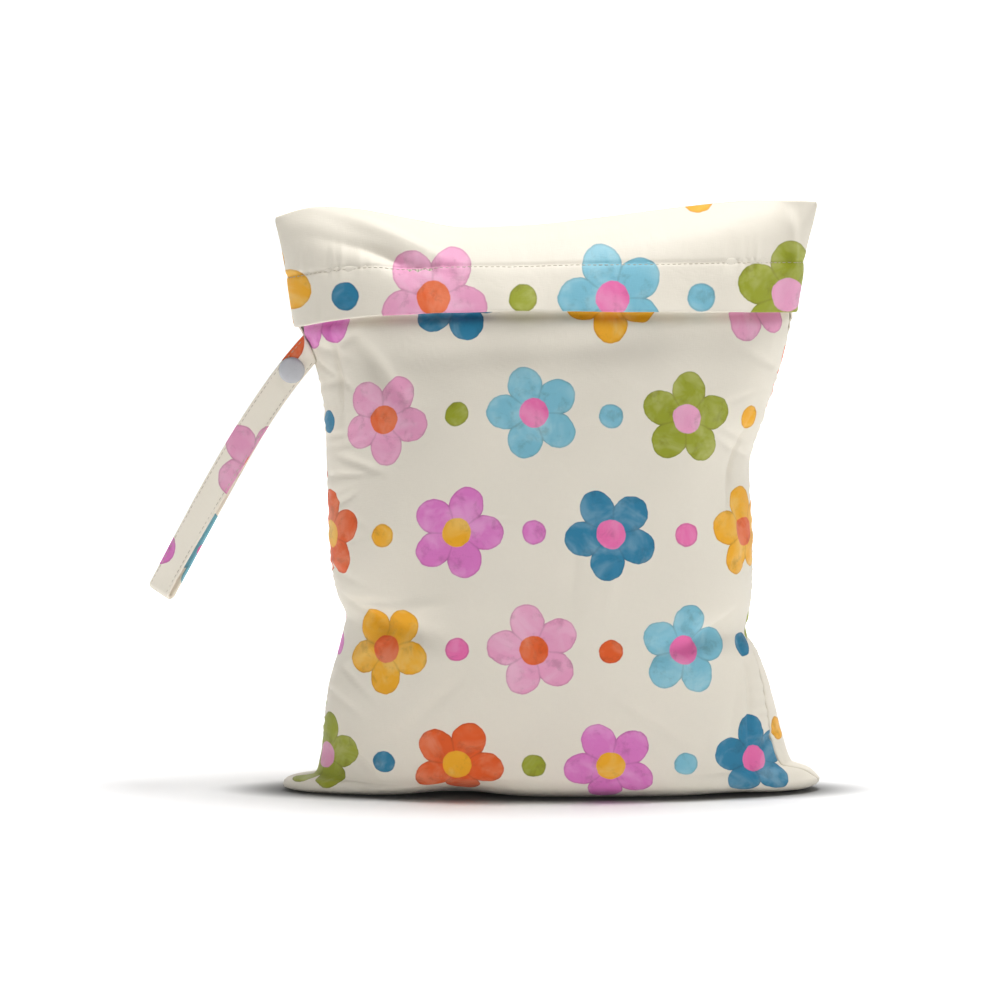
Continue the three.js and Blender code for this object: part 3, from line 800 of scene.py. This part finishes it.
class Paint:
    """The node tree of one material."""

    def __init__(self, name):
        self.material = bpy.data.materials.new(name)
        self.material.use_nodes = True
        self.tree = self.material.node_tree
        self.tree.nodes.clear()

    def node(self, kind, settings, values, output=0):
        """Adds a node, gives it its settings and then its sockets' values or links."""
        node = self.tree.nodes.new(kind)
        for key, value in settings.items():
            if key == "stops":
                self.set_stops(node.color_ramp, value)
            else:
                setattr(node, key, value)
        for key, value in values.items():
            if isinstance(value, Wire):
                self.tree.links.new(value.socket, node.inputs[key])
            else:
                node.inputs[key].default_value = value
        if isinstance(output, tuple):
            return tuple(Wire(self, node.outputs[o]) for o in output)
        return Wire(self, node.outputs[output])

    def set_stops(self, ramp, stops):
        ramp.interpolation = "CONSTANT"
        while len(ramp.elements) < len(stops):
            ramp.elements.new(1)
        for element, (place, colour) in zip(ramp.elements, stops):
            element.position = place
            element.color = colour

    def blend(self, share, a, b, kind="MIX"):
        """Mixes two colours by a share."""
        settings = {"data_type": "RGBA", "blend_type": kind, "clamp_factor": True}
        return self.node("ShaderNodeMix", settings, {0: share, 6: a, 7: b}, 2)

    def pick(self, index, colours):
        """One of several colours, by a whole number from 0 up."""
        stops = [(i / len(colours), colour) for i, colour in enumerate(colours)]
        return self.node("ShaderNodeValToRGB", {"stops": stops}, {0: (index + 0.5) / len(colours)})

    def noise(self, vector, scale, detail=2.0, roughness=0.5, distortion=0.0):
        values = {
            "Vector": vector,
            "Scale": scale,
            "Detail": detail,
            "Roughness": roughness,
            "Distortion": distortion,
        }
        return self.node("ShaderNodeTexNoise", {"noise_dimensions": "3D"}, values)

    def vector(self, x, y, z=0.0):
        return self.node("ShaderNodeCombineXYZ", {}, {0: x, 1: y, 2: z})

    def surface(self, **values):
        """Ends the material in a Principled shader."""
        named = {}
        for key, value in values.items():
            named[key.replace("_", " ").title().replace("Ior", "IOR")] = value
        shader = self.node("ShaderNodeBsdfPrincipled", {}, named)
        out = self.tree.nodes.new("ShaderNodeOutputMaterial")
        self.tree.links.new(shader.socket, out.inputs["Surface"])
        return self.material


def opaque(colour, lift=1.0):
    return (*[min(1.0, c * lift) for c in colour], 1.0)


def flower_mask(paint, x, y, turn, radius):
    """A five-petalled flower round (0, 0): its inside, its reach from the middle and its petal's angle."""
    sector = 2 * math.pi / 5
    reach = (x * x + y * y).root()
    angle = paint.node("ShaderNodeMath", {"operation": "ARCTAN2"}, {0: y, 1: x}) / sector + turn
    folded = (angle - (angle + 0.5).floor()) * sector
    px = reach * paint.node("ShaderNodeMath", {"operation": "COSINE"}, {0: folded})
    py = reach * paint.node("ShaderNodeMath", {"operation": "SINE"}, {0: folded})
    dx = (px - 0.585 * radius) / (0.42 * radius)
    dy = py / (0.375 * radius)
    petal = (dx * dx + dy * dy).root()
    middle = reach / (0.5 * radius)
    return petal.least(middle), reach, folded


PETAL_TINTS = ("orange", "sky", "golden", "orchid", "green", "pink", "blue")
HEART_TINTS = ("golden", "rose", "orange", "golden", "pink", "orange", "rose")
DOT_TINTS = ("green", "rose", "sky", "orange", "golden", "blue", "orchid")


class Motif:
    """The flower and the dot nearest to a place on the cloth, in level staggered rows."""

    def __init__(self, paint, sizes, colours, x, y):
        self.paint = paint
        row = (y / sizes.row_pitch + 0.5).floor()
        along = x / sizes.flower_pitch + row.modulo(2) * 0.5
        column = (along + 0.5).floor()
        local_x = (along - column) * sizes.flower_pitch
        local_y = y - row * sizes.row_pitch
        turn = (column * 0.31 + row * 0.47).modulo(1)
        radius = sizes.flower_radius
        self.inside, reach, self.folded = flower_mask(paint, local_x, local_y, turn, radius)

        dot_along = along + 0.5
        dot_column = (dot_along + 0.5).floor()
        dot_x = (dot_along - dot_column) * sizes.flower_pitch
        self.dot_reach = (dot_x * dot_x + local_y * local_y).root() / sizes.dot_radius

        number = (column * 3 + row * 5).modulo(7)
        dot_number = (dot_column * 2 + row * 3 + 1).modulo(7)
        self.petal_colour = self.tint_of(colours, PETAL_TINTS, number)
        self.heart_colour = self.tint_of(colours, HEART_TINTS, number)
        self.dot_colour = self.tint_of(colours, DOT_TINTS, dot_number)
        self.flower = 1 - self.inside.step(0.955, 1.0)
        self.heart = 1 - (reach / (0.315 * radius)).step(0.94, 1.02)
        self.dot = 1 - self.dot_reach.step(0.93, 1.02)
        self.printed = self.flower.most(self.dot)

    def tint_of(self, colours, names, number):
        return self.paint.pick(number, [opaque(getattr(colours, name)) for name in names])

    def plain(self, ground):
        """The motif in even colours on the colour of the ground."""
        colour = self.paint.blend(self.flower, ground, self.petal_colour)
        colour = self.paint.blend(self.dot, colour, self.dot_colour)
        return self.paint.blend(self.heart, colour, self.heart_colour)

    def watercolour(self, colour, cloth, wash, pool):
        """Pale washes and darker pools of paint, a darker rim and a line where two petals meet."""
        paint = self.paint
        petals = self.flower * (1 - self.heart)
        rim = (self.inside.step(0.86, 0.975) * petals).most(self.dot_reach.step(0.78, 0.96) * self.dot)
        meet = paint.node("ShaderNodeMath", {"operation": "ABSOLUTE"}, {0: self.folded}) / (math.pi / 5)
        line = meet.step(0.86, 1.0) * petals
        colour = paint.blend(wash * self.printed * 0.34, colour, (1.0, 1.0, 1.0, 1.0), "SOFT_LIGHT")
        colour = paint.blend(wash * self.printed * 0.15, colour, cloth)
        colour = paint.blend(pool * self.printed * 0.50, colour, (0.58, 0.54, 0.52, 1.0), "MULTIPLY")
        colour = paint.blend(rim * 0.42, colour, (0.58, 0.50, 0.50, 1.0), "MULTIPLY")
        return paint.blend(line * 0.34, colour, (0.58, 0.52, 0.52, 1.0), "MULTIPLY")


def printed_cloth(sizes, colours, name, scale, shift, lift=1.0):
    """Smooth printed cloth: rows of five-petalled flowers and dots in watercolour on a cream ground."""
    paint = Paint(name)
    flat = paint.node("ShaderNodeUVMap", {"uv_map": "cloth"}, {})
    u, v = paint.node("ShaderNodeSeparateXYZ", {}, {0: flat}, (0, 1))
    x, y = u / scale + shift[0], v / scale + shift[1]
    place = paint.vector(x, y)
    wobble_x = paint.noise(place, 160, 2.0)
    wobble_y = paint.noise(paint.vector(x + 3.1, y + 1.7), 160, 2.0)
    x = x + (wobble_x - 0.5) * 0.0016
    y = y + (wobble_y - 0.5) * 0.0016

    motif = Motif(paint, sizes, colours, x, y)
    wash = paint.noise(place, 55, 3.0, 0.6, 0.6).step(0.40, 0.72)
    pool = paint.noise(paint.vector(x + 5.3, y + 2.9), 110, 4.0, 0.65, 0.3).step(0.50, 0.72)
    # a lift above 1 paints the ground lighter than the cloth's own colour, as a lit copy of the same cloth
    colour = motif.plain(opaque(colours.cloth, lift))
    colour = motif.watercolour(colour, opaque(colours.cloth), wash, pool)

    # the finest threads and a faint crumple of the thin cloth
    warp = paint.noise(paint.vector(u * 2600, v * 260), 1.0, 1.0)
    weft = paint.noise(paint.vector(u * 260, v * 2600), 1.0, 1.0)
    threads = warp + weft
    crumple = paint.noise(paint.vector(u, v), 42, 3.0, 0.55, 0.4)
    fine = paint.node("ShaderNodeBump", {}, {"Strength": 0.22, "Distance": 0.0003, "Height": threads})
    normal = paint.node(
        "ShaderNodeBump", {}, {"Strength": 0.35, "Distance": 0.0016, "Height": crumple, "Normal": fine}
    )
    colour = paint.blend((threads - 0.7).step(0.0, 0.6) * 0.06, colour, (0.80, 0.78, 0.74, 1.0), "MULTIPLY")
    return paint.surface(
        base_color=colour,
        roughness=0.56 + (crumple - 0.5) * 0.16,
        normal=normal,
        sheen_weight=0.12,
        sheen_roughness=0.5,
        specular_ior_level=0.34,
    )


def thread_material(colours):
    paint = Paint("sewing_thread")
    place = paint.node("ShaderNodeTexCoord", {}, {}, 3)
    ply = paint.noise(place, 2400, 2.0)
    colour = paint.blend(ply.step(0.35, 0.65) * 0.5, opaque(colours.thread), opaque(colours.thread, 0.72))
    normal = paint.node("ShaderNodeBump", {}, {"Strength": 0.4, "Distance": 0.0001, "Height": ply})
    return paint.surface(base_color=colour, roughness=0.6, normal=normal)


def snap_material(colours):
    paint = Paint("snap_plastic")
    place = paint.node("ShaderNodeTexCoord", {}, {}, 3)
    cloud = paint.noise(place, 420, 3.0)
    colour = paint.blend(cloud.step(0.3, 0.8) * 0.35, opaque(colours.snap), opaque(colours.snap, 0.90))
    roughness = 0.30 + (paint.noise(place, 1500, 2.0) - 0.5) * 0.18
    normal = paint.node("ShaderNodeBump", {}, {"Strength": 0.15, "Distance": 0.0001, "Height": cloud})
    return paint.surface(base_color=colour, roughness=roughness, normal=normal, specular_ior_level=0.5)


def zip_material(colours):
    paint = Paint("zip_tape")
    place = paint.node("ShaderNodeTexCoord", {}, {}, 3)
    x, _, z = paint.node("ShaderNodeSeparateXYZ", {}, {0: place}, (0, 1, 2))
    rib = paint.node("ShaderNodeMath", {"operation": "SINE"}, {0: x * (2 * math.pi / 0.0015)})
    weave = rib + (paint.noise(paint.vector(x * 900, z * 2400), 1.0, 1.0) - 0.5)
    colour = paint.blend(weave.step(-0.8, 1.2), opaque(colours.zip_tape, 0.82), opaque(colours.zip_tape))
    normal = paint.node("ShaderNodeBump", {}, {"Strength": 0.4, "Distance": 0.0003, "Height": weave})
    return paint.surface(base_color=colour, roughness=0.7, normal=normal)


# Stitches


STITCH_TREE = "Stitches along a path"


def stitch_tree(material):
    """Geometry nodes that lay short threads along a path, one to each pitch."""
    tree = bpy.data.node_groups.new(STITCH_TREE, "GeometryNodeTree")
    face = tree.interface
    face.new_socket("Geometry", in_out="INPUT", socket_type="NodeSocketGeometry")
    for name, default in (("Pitch", 0.003), ("Length", 0.0022), ("Thickness", 0.0005)):
        face.new_socket(name, in_out="INPUT", socket_type="NodeSocketFloat").default_value = default
    face.new_socket("Seed", in_out="INPUT", socket_type="NodeSocketInt").default_value = 5
    face.new_socket("Geometry", in_out="OUTPUT", socket_type="NodeSocketGeometry")

    def add(kind, settings=None, **links):
        node = tree.nodes.new(kind)
        for key, value in (settings or {}).items():
            setattr(node, key, value)
        for key, value in links.items():
            socket = node.inputs[key.replace("_", " ")]
            if isinstance(value, bpy.types.NodeSocket):
                tree.links.new(value, socket)
            else:
                socket.default_value = value
        return node

    given = add("NodeGroupInput").outputs
    path = add("GeometryNodeMeshToCurve", Mesh=given["Geometry"])
    spaced = add(
        "GeometryNodeResampleCurve", {"mode": "LENGTH"}, Curve=path.outputs[0], Length=given["Pitch"]
    )
    tangent = add("GeometryNodeInputTangent")
    turn = add("FunctionNodeAlignRotationToVector", {"axis": "Z"}, Vector=tangent.outputs[0])
    bead = add("GeometryNodeMeshUVSphere", Segments=7, Rings=5, Radius=0.5)
    size = add("ShaderNodeCombineXYZ", X=given["Thickness"], Y=given["Thickness"], Z=given["Length"])
    thread = add("GeometryNodeTransform", Geometry=bead.outputs[0], Scale=size.outputs[0])
    vary = add("FunctionNodeRandomValue", {"data_type": "FLOAT"}, Seed=given["Seed"])
    vary.inputs[2].default_value = 0.86
    vary.inputs[3].default_value = 1.12
    placed = add(
        "GeometryNodeInstanceOnPoints",
        Points=spaced.outputs[0],
        Instance=thread.outputs[0],
        Rotation=turn.outputs[0],
        Scale=vary.outputs[1],
    )
    real = add("GeometryNodeRealizeInstances", Geometry=placed.outputs[0])
    smooth = add("GeometryNodeSetShadeSmooth", Geometry=real.outputs[0])
    painted = add("GeometryNodeSetMaterial", Geometry=smooth.outputs[0], Material=material)
    out = tree.nodes.new("NodeGroupOutput")
    tree.links.new(painted.outputs[0], out.inputs["Geometry"])
    return tree


def stitch_row(name, paths, sizes, colours, seed):
    """Stitches along several paths, as one plain mesh."""
    thread = bpy.data.materials.get("sewing_thread") or thread_material(colours)
    tree = bpy.data.node_groups.get(STITCH_TREE) or stitch_tree(thread)
    points, edges = [], []
    for path in paths:
        first = len(points)
        points += [list(p) for p in path]
        edges += [(first + i, first + i + 1) for i in range(len(path) - 1)]
    mesh = bpy.data.meshes.new(name + "_path")
    mesh.from_pydata(points, edges, [])
    carrier = bpy.data.objects.new(name + "_path", mesh)
    bpy.context.scene.collection.objects.link(carrier)
    modifier = carrier.modifiers.new("Stitches", "NODES")
    modifier.node_group = tree
    given = {
        "Pitch": sizes.stitch_pitch,
        "Length": sizes.stitch_length,
        "Thickness": sizes.thread,
        "Seed": seed,
    }
    for item in tree.interface.items_tree:
        if item.item_type == "SOCKET" and item.in_out == "INPUT" and item.name in given:
            modifier[item.identifier] = given[item.name]
    bpy.context.view_layer.update()
    graph = bpy.context.evaluated_depsgraph_get()
    made = bpy.data.meshes.new_from_object(carrier.evaluated_get(graph))
    bpy.data.objects.remove(carrier)
    if not made.polygons:
        raise RuntimeError(f"no stitches were made for {name}")
    return finish_mesh(name, made, thread)


# Operators


def bag_and_colours(context):
    return BagShape(context.scene.wet_bag_sizes), context.scene.wet_bag_colours


class WETBAG_OT_panels(bpy.types.Operator):
    """Build the two sewn panels of the bag"""

    bl_idname = "wet_bag.panels"
    bl_label = "Panels"

    def execute(self, context):
        bag, colours = bag_and_colours(context)
        cloth = printed_cloth(bag.s, colours, "printed_cloth", 1.0, (0.5, 0.5))

        for name, turn_at, side, top_at, shift_at, lift, seed in (
            ("front_panel", bag.front_turn, -1, bag.panel_top_at, tuck_shift, bottom_arches, 11),
            ("back_panel", bag.back_turn, 1, full_height, no_shift, level_bottom, 17),
        ):
            outer, inner, flat = panel_grids(bag, turn_at, side, top_at, shift_at, lift, seed)
            mesh = sheet_mesh(name, inner, outer, flat)
            piece = finish_mesh("bag_" + name, mesh, cloth)
            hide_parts(name)
        return {"FINISHED"}


class WETBAG_OT_top_band(bpy.types.Operator):
    """Build the band along the top, with its flap over the zip"""

    bl_idname = "wet_bag.top_band"
    bl_label = "Top band and zip"

    def execute(self, context):
        bag, colours = bag_and_colours(context)
        cloth = printed_cloth(bag.s, colours, "printed_cloth_band", 1.15, (0.463, 0.5215))
        outer, inner, flat = band_grids(bag)
        mesh = sheet_mesh("top_band", inner, outer, flat)
        band = finish_mesh("bag_top_band", mesh, cloth)
        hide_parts("top_band")
        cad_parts["zip"].material_slots[0].material = zip_material(colours)

        lengths = np.linalg.norm(np.diff(outer, axis=0), axis=-1)
        up = np.concatenate([np.zeros((1, outer.shape[1])), np.cumsum(lengths, 0)])
        path = []
        for column in range(3, outer.shape[1] - 3):
            at = [np.interp(bag.s.band_stitch_height, up[:, column], outer[:, column, k]) for k in range(3)]
            path.append(Vector(at) + Vector((0, -0.0001, 0.0001)))
        row = stitch_row("band_stitches", [path], bag.s, colours, 5)
        return {"FINISHED"}


STRAP_ROWS = 110
STRAP_FOLD_STEPS = 12
STRAP_SEWN_IN = 0.0022
STRAP_SEAM_DEPTH = 0.00028
STRAP_RIPPLE = 0.00022
HOLE_GAP = 0.0002
STITCH_SINK = 0.00020
# Places across the strap as shares of half its width: where it rounds off and where its seams run
STRAP_ROUND_SHARE = 0.16
STRAP_SEAM_SHARE = 0.80
STRAP_SEAM_REACH = 0.07


def strap_grids(strap):
    """Outer and inner points of the strap, down its front layer, round the fold and up its rear layer."""
    s = strap.s
    near_edge = np.array([0.9, 0.95, 0.985, 1])
    places = np.concatenate([-near_edge[::-1], np.linspace(-0.84, 0.84, 25), near_edge])
    starts = [strap.start(across) - STRAP_SEWN_IN / s.strap_length for across in places]
    outer, inner = [], []
    for row in range(2 * STRAP_ROWS + STRAP_FOLD_STEPS + 1):
        outer_row, inner_row = [], []
        for across, start in zip(places, starts):
            edge = max(0.0, 1 - (1 - abs(across)) / STRAP_ROUND_SHARE)
            thick = s.strap_wall / 2 * math.sqrt(max(0.0, 1 - edge**2)) + 0.00005
            from_seam = (abs(across) - STRAP_SEAM_SHARE) / STRAP_SEAM_REACH
            seam = STRAP_SEAM_DEPTH * math.exp(-(from_seam**2))
            if STRAP_ROWS < row < STRAP_ROWS + STRAP_FOLD_STEPS:
                angle = math.pi * (row - STRAP_ROWS) / STRAP_FOLD_STEPS
                outer_row.append(strap.fold_point(angle, across, thick - seam))
                inner_row.append(strap.fold_point(angle, across, -thick))
                continue
            side = 1 if row <= STRAP_ROWS else -1
            count = row if side == 1 else 2 * STRAP_ROWS + STRAP_FOLD_STEPS - row
            share = mix(start, 1, count / STRAP_ROWS)
            ripple = STRAP_RIPPLE * float(wander(np.array(share * 6 + side), 53)) * (1 - abs(across) ** 4)
            outer_row.append(strap.layer_point(share, across, side, thick - seam + ripple))
            inner_row.append(strap.layer_point(share, across, side, -thick))
        outer.append(outer_row)
        inner.append(inner_row)
    outer = np.array(outer)
    return outer, np.array(inner), flat_places(outer, places)


def strap_seams(strap):
    """The paths of the four rows of stitches, two on each layer."""
    paths = []
    for side in (1, -1):
        for across in (-STRAP_SEAM_SHARE, STRAP_SEAM_SHARE):
            shares = np.linspace(strap.start(across) + 0.012, 0.995, 90)
            lift = strap.s.strap_wall / 2 - STITCH_SINK
            paths.append([strap.layer_point(share, across, side, lift) for share in shares])
    return paths


class WETBAG_OT_wrist_strap(bpy.types.Operator):
    """Build the folded wrist strap with its stitches"""

    bl_idname = "wet_bag.wrist_strap"
    bl_label = "Wrist strap"

    def execute(self, context):
        bag, colours = bag_and_colours(context)
        strap = StrapShape(bag)
        s = bag.s
        # the strap's ground is painted 1.12 times lighter than the bag's cloth: painted light on a lit copy
        # of the same cloth
        cloth = printed_cloth(s, colours, "printed_cloth_strap", 1.0, (0.641, 0.31), 1.12)
        outer, inner, flat = strap_grids(strap)
        uncut = bpy.data.objects.new("strap_uncut", sheet_mesh("wrist_strap", inner, outer, flat))
        context.scene.collection.objects.link(uncut)
        centre, _, _, front = strap.frame(s.snap_from_root / s.strap_length)
        mesh = self.with_hole(context, uncut, centre, front, s.snap_post / 2 + HOLE_GAP)
        piece = finish_mesh("bag_wrist_strap", mesh, cloth)
        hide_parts("wrist_strap")
        row = stitch_row("strap_stitches", strap_seams(strap), s, colours, 9)
        return {"FINISHED"}

    def with_hole(self, context, piece, centre, front, radius):
        """The strap's mesh with a round hole through both layers for the snap's post."""
        drill = bmesh.new()
        bmesh.ops.create_cone(drill, cap_ends=True, segments=32, radius1=radius, radius2=radius, depth=0.03)
        turn = Vector((0, 0, 1)).rotation_difference(Vector(front)).to_matrix().to_4x4()
        turn.translation = Vector(centre)
        bmesh.ops.transform(drill, matrix=turn, verts=drill.verts)
        drill_mesh = bpy.data.meshes.new("drill")
        drill.to_mesh(drill_mesh)
        drill.free()
        tool = bpy.data.objects.new("drill", drill_mesh)
        context.scene.collection.objects.link(tool)
        modifier = piece.modifiers.new("Hole", "BOOLEAN")
        modifier.operation = "DIFFERENCE"
        modifier.solver = "EXACT"
        modifier.object = tool
        context.view_layer.update()
        graph = context.evaluated_depsgraph_get()
        made = bpy.data.meshes.new_from_object(piece.evaluated_get(graph))
        bpy.data.objects.remove(piece)
        bpy.data.objects.remove(tool)
        return made


# The outline of the snap's cap from its seat up to its dome, as shares of its radius and of its height
SNAP_RIM = Table(
    "rise radius",
    [[0.00, 0.900], [0.04, 0.965], [0.16, 1.000], [0.24, 1.000], [0.34, 0.970], [0.34, 0.955]],
)
SNAP_SIDES = 72


def cap_outline(strap):
    """Distances from the snap's axis and along it: up the post, round the rim and over the dome."""
    s = strap.s
    post_end = float(strap.half_spread(0)) - s.strap_wall / 2
    seat = float(strap.half_spread(0)) + s.strap_wall / 2 + s.seat_gap
    radius, dome = s.snap_diameter / 2, s.snap_dome
    outline = [(0, post_end), (s.snap_post / 2, post_end), (s.snap_post / 2, seat)]
    outline += [(radius * step["radius"], seat + dome * step["rise"]) for step in SNAP_RIM.each()]
    for angle in np.linspace(0.06, 1, 16) * math.pi / 2:
        outline.append((radius * 0.95 * math.cos(angle), seat + dome * (0.34 + 0.66 * math.sin(angle))))
    return outline


def turned_mesh(name, outline, centre, along, wide, front):
    """A closed mesh turned round the axis front, from an outline that starts and ends on it."""
    shape = bmesh.new()
    rings = []
    for distance, lift in outline:
        middle = Vector(centre) + Vector(front) * lift
        if distance < 1e-6:
            rings.append([shape.verts.new(middle)])
            continue
        ring = []
        for i in range(SNAP_SIDES):
            angle = 2 * math.pi * i / SNAP_SIDES
            out = Vector(wide) * math.cos(angle) + Vector(along) * math.sin(angle)
            ring.append(shape.verts.new(middle + out * distance))
        rings.append(ring)
    for one, two in zip(rings, rings[1:]):
        for i in range(SNAP_SIDES):
            corners = [one[i % len(one)], one[(i + 1) % len(one)]]
            corners += [two[(i + 1) % len(two)], two[i % len(two)]]
            shape.faces.new(list(dict.fromkeys(corners)))
    bmesh.ops.recalc_face_normals(shape, faces=shape.faces)
    if shape.calc_volume(signed=True) < 0:
        bmesh.ops.reverse_faces(shape, faces=shape.faces)
    mesh = bpy.data.meshes.new(name)
    shape.to_mesh(mesh)
    shape.free()
    return mesh


class WETBAG_OT_snap(bpy.types.Operator):
    """Build the snap's cap and finish its hidden half"""

    bl_idname = "wet_bag.snap"
    bl_label = "Snap"

    def execute(self, context):
        bag, colours = bag_and_colours(context)
        strap = StrapShape(bag)
        plastic = snap_material(colours)
        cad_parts["snap_stud"].material_slots[0].material = plastic
        centre, along, wide, front = strap.frame(bag.s.snap_from_root / bag.s.strap_length)
        mesh = turned_mesh("snap_cap", cap_outline(strap), centre, along, wide, front)
        cap = finish_mesh("snap_cap_domed", mesh, plastic, math.radians(50))
        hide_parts("snap_cap")
        return {"FINISHED"}


class WETBAG_OT_stage(bpy.types.Operator):
    """Build the floor, the lights and the camera"""

    bl_idname = "wet_bag.stage"
    bl_label = "Stage"

    def execute(self, context):
        colours = context.scene.wet_bag_colours
        self.floor(context, colours)
        self.lights(context)
        self.camera(context)
        return {"FINISHED"}

    def floor(self, context, colours):
        """A pale floor that curves up into a backdrop behind the bag and glows softly away from it."""
        profile = [(-4.0, 0.0), (1.6, 0.0)]
        for i in range(1, 13):
            angle = math.pi / 2 * i / 12
            profile.append((1.6 + 0.9 * math.sin(angle), 0.9 * (1 - math.cos(angle))))
        profile.append((2.5, 3.5))
        points = [(x, y, z) for y, z in profile for x in (-4.5, 4.5)]
        faces = [(2 * i, 2 * i + 1, 2 * i + 3, 2 * i + 2) for i in range(len(profile) - 1)]
        mesh = bpy.data.meshes.new("studio_floor")
        mesh.from_pydata(points, [], faces)
        mesh.shade_smooth()
        floor = bpy.data.objects.new("studio_floor", mesh)
        context.scene.collection.objects.link(floor)
        paint = Paint("studio_floor")
        place = paint.node("ShaderNodeTexCoord", {}, {}, 3)
        x, y = paint.node("ShaderNodeSeparateXYZ", {}, {0: place}, (0, 1))
        ahead = y * 1.6
        away = (x * x + ahead * ahead).root().step(0.19, 0.95)
        seen = 1 - (0 - y).step(0.5, 0.9)
        glow = paint.blend(away * seen, (0.0, 0.0, 0.0, 1.0), (0.6, 0.6, 0.6, 1.0))
        # a soft darker patch round the base: a contact shadow painted into the floor's colour
        wide, deep = x / 0.162, y / 0.042
        painted_shadow_mask = (wide * wide + deep * deep).root().step(0.84, 1.16)
        ground = paint.blend(painted_shadow_mask, opaque(colours.floor, 0.22), opaque(colours.floor))
        mesh.materials.append(
            paint.surface(
                base_color=ground, roughness=0.9, specular_ior_level=0.1,
                emission_color=glow, emission_strength=1.0,
            )
        )

    def lights(self, context):
        scene = context.scene
        world = bpy.data.worlds.new("studio")
        world.use_nodes = True
        world.node_tree.nodes["Background"].inputs["Color"].default_value = (1.0, 1.0, 1.0, 1.0)
        world.node_tree.nodes["Background"].inputs["Strength"].default_value = 0.12
        scene.world = world
        scene.view_settings.view_transform = "Standard"
        for name, place, aim, size, power in (
            ("top_light", (0.15, -0.03, 1.75), (0.0, 0.0, 0.2), 0.6, 24.0),
            ("front_light", (0.9, -1.9, 0.3), (0.0, 0.0, 0.1), 0.5, 4.0),
            ("right_light", (1.7, -0.6, 0.6), (0.0, 0.0, 0.1), 0.7, 4.0),
            ("left_light", (-1.7, -0.4, 0.5), (0.0, 0.0, 0.1), 0.7, 3.5),
        ):
            data = bpy.data.lights.new(name, "AREA")
            data.shape = "DISK"
            data.size = size
            data.energy = power
            light = bpy.data.objects.new(name, data)
            light.location = place
            light.rotation_euler = (Vector(aim) - Vector(place)).to_track_quat("-Z", "Y").to_euler()
            scene.collection.objects.link(light)

    def camera(self, context):
        data = bpy.data.cameras.new("camera")
        data.sensor_width = 36
        data.lens = 153.3
        data.clip_start, data.clip_end = 0.1, 30
        camera = bpy.data.objects.new("camera", data)
        aim, distance, elevation = Vector((-0.02592, 0, 0.15805)), 2.3, math.radians(6)
        camera.location = aim + distance * Vector((0, -math.cos(elevation), math.sin(elevation)))
        camera.rotation_euler = (math.pi / 2 - elevation, 0, 0)
        context.scene.collection.objects.link(camera)
        context.scene.camera = camera


STEPS = ("stage", "panels", "top_band", "wrist_strap", "snap")


class WETBAG_PT_sidebar(bpy.types.Panel):
    """The bag's steps, sizes and colours"""

    bl_idname = "WETBAG_PT_sidebar"
    bl_label = "Wet Bag"
    bl_space_type = "VIEW_3D"
    bl_region_type = "UI"
    bl_category = "Wet Bag"

    def draw(self, context):
        for step in STEPS:
            self.layout.operator(f"wet_bag.{step}")
        for group in (context.scene.wet_bag_sizes, context.scene.wet_bag_colours):
            for name in group.bl_rna.properties.keys():
                if name not in ("rna_type", "name"):
                    self.layout.prop(group, name)


CLASSES = (
    WetBagSizes,
    WetBagColours,
    WETBAG_OT_stage,
    WETBAG_OT_panels,
    WETBAG_OT_top_band,
    WETBAG_OT_wrist_strap,
    WETBAG_OT_snap,
    WETBAG_PT_sidebar,
)


def register():
    for cls in CLASSES:
        bpy.utils.register_class(cls)
    bpy.types.Scene.wet_bag_sizes = bpy.props.PointerProperty(type=WetBagSizes)
    bpy.types.Scene.wet_bag_colours = bpy.props.PointerProperty(type=WetBagColours)


def unregister():
    del bpy.types.Scene.wet_bag_sizes
    del bpy.types.Scene.wet_bag_colours
    for cls in reversed(CLASSES):
        bpy.utils.unregister_class(cls)


def main():
    """Registers the parts of the bag and builds them in order."""
    register()
    for step in STEPS:
        getattr(bpy.ops.wet_bag, step)()


if __name__ == "__main__":
    main()
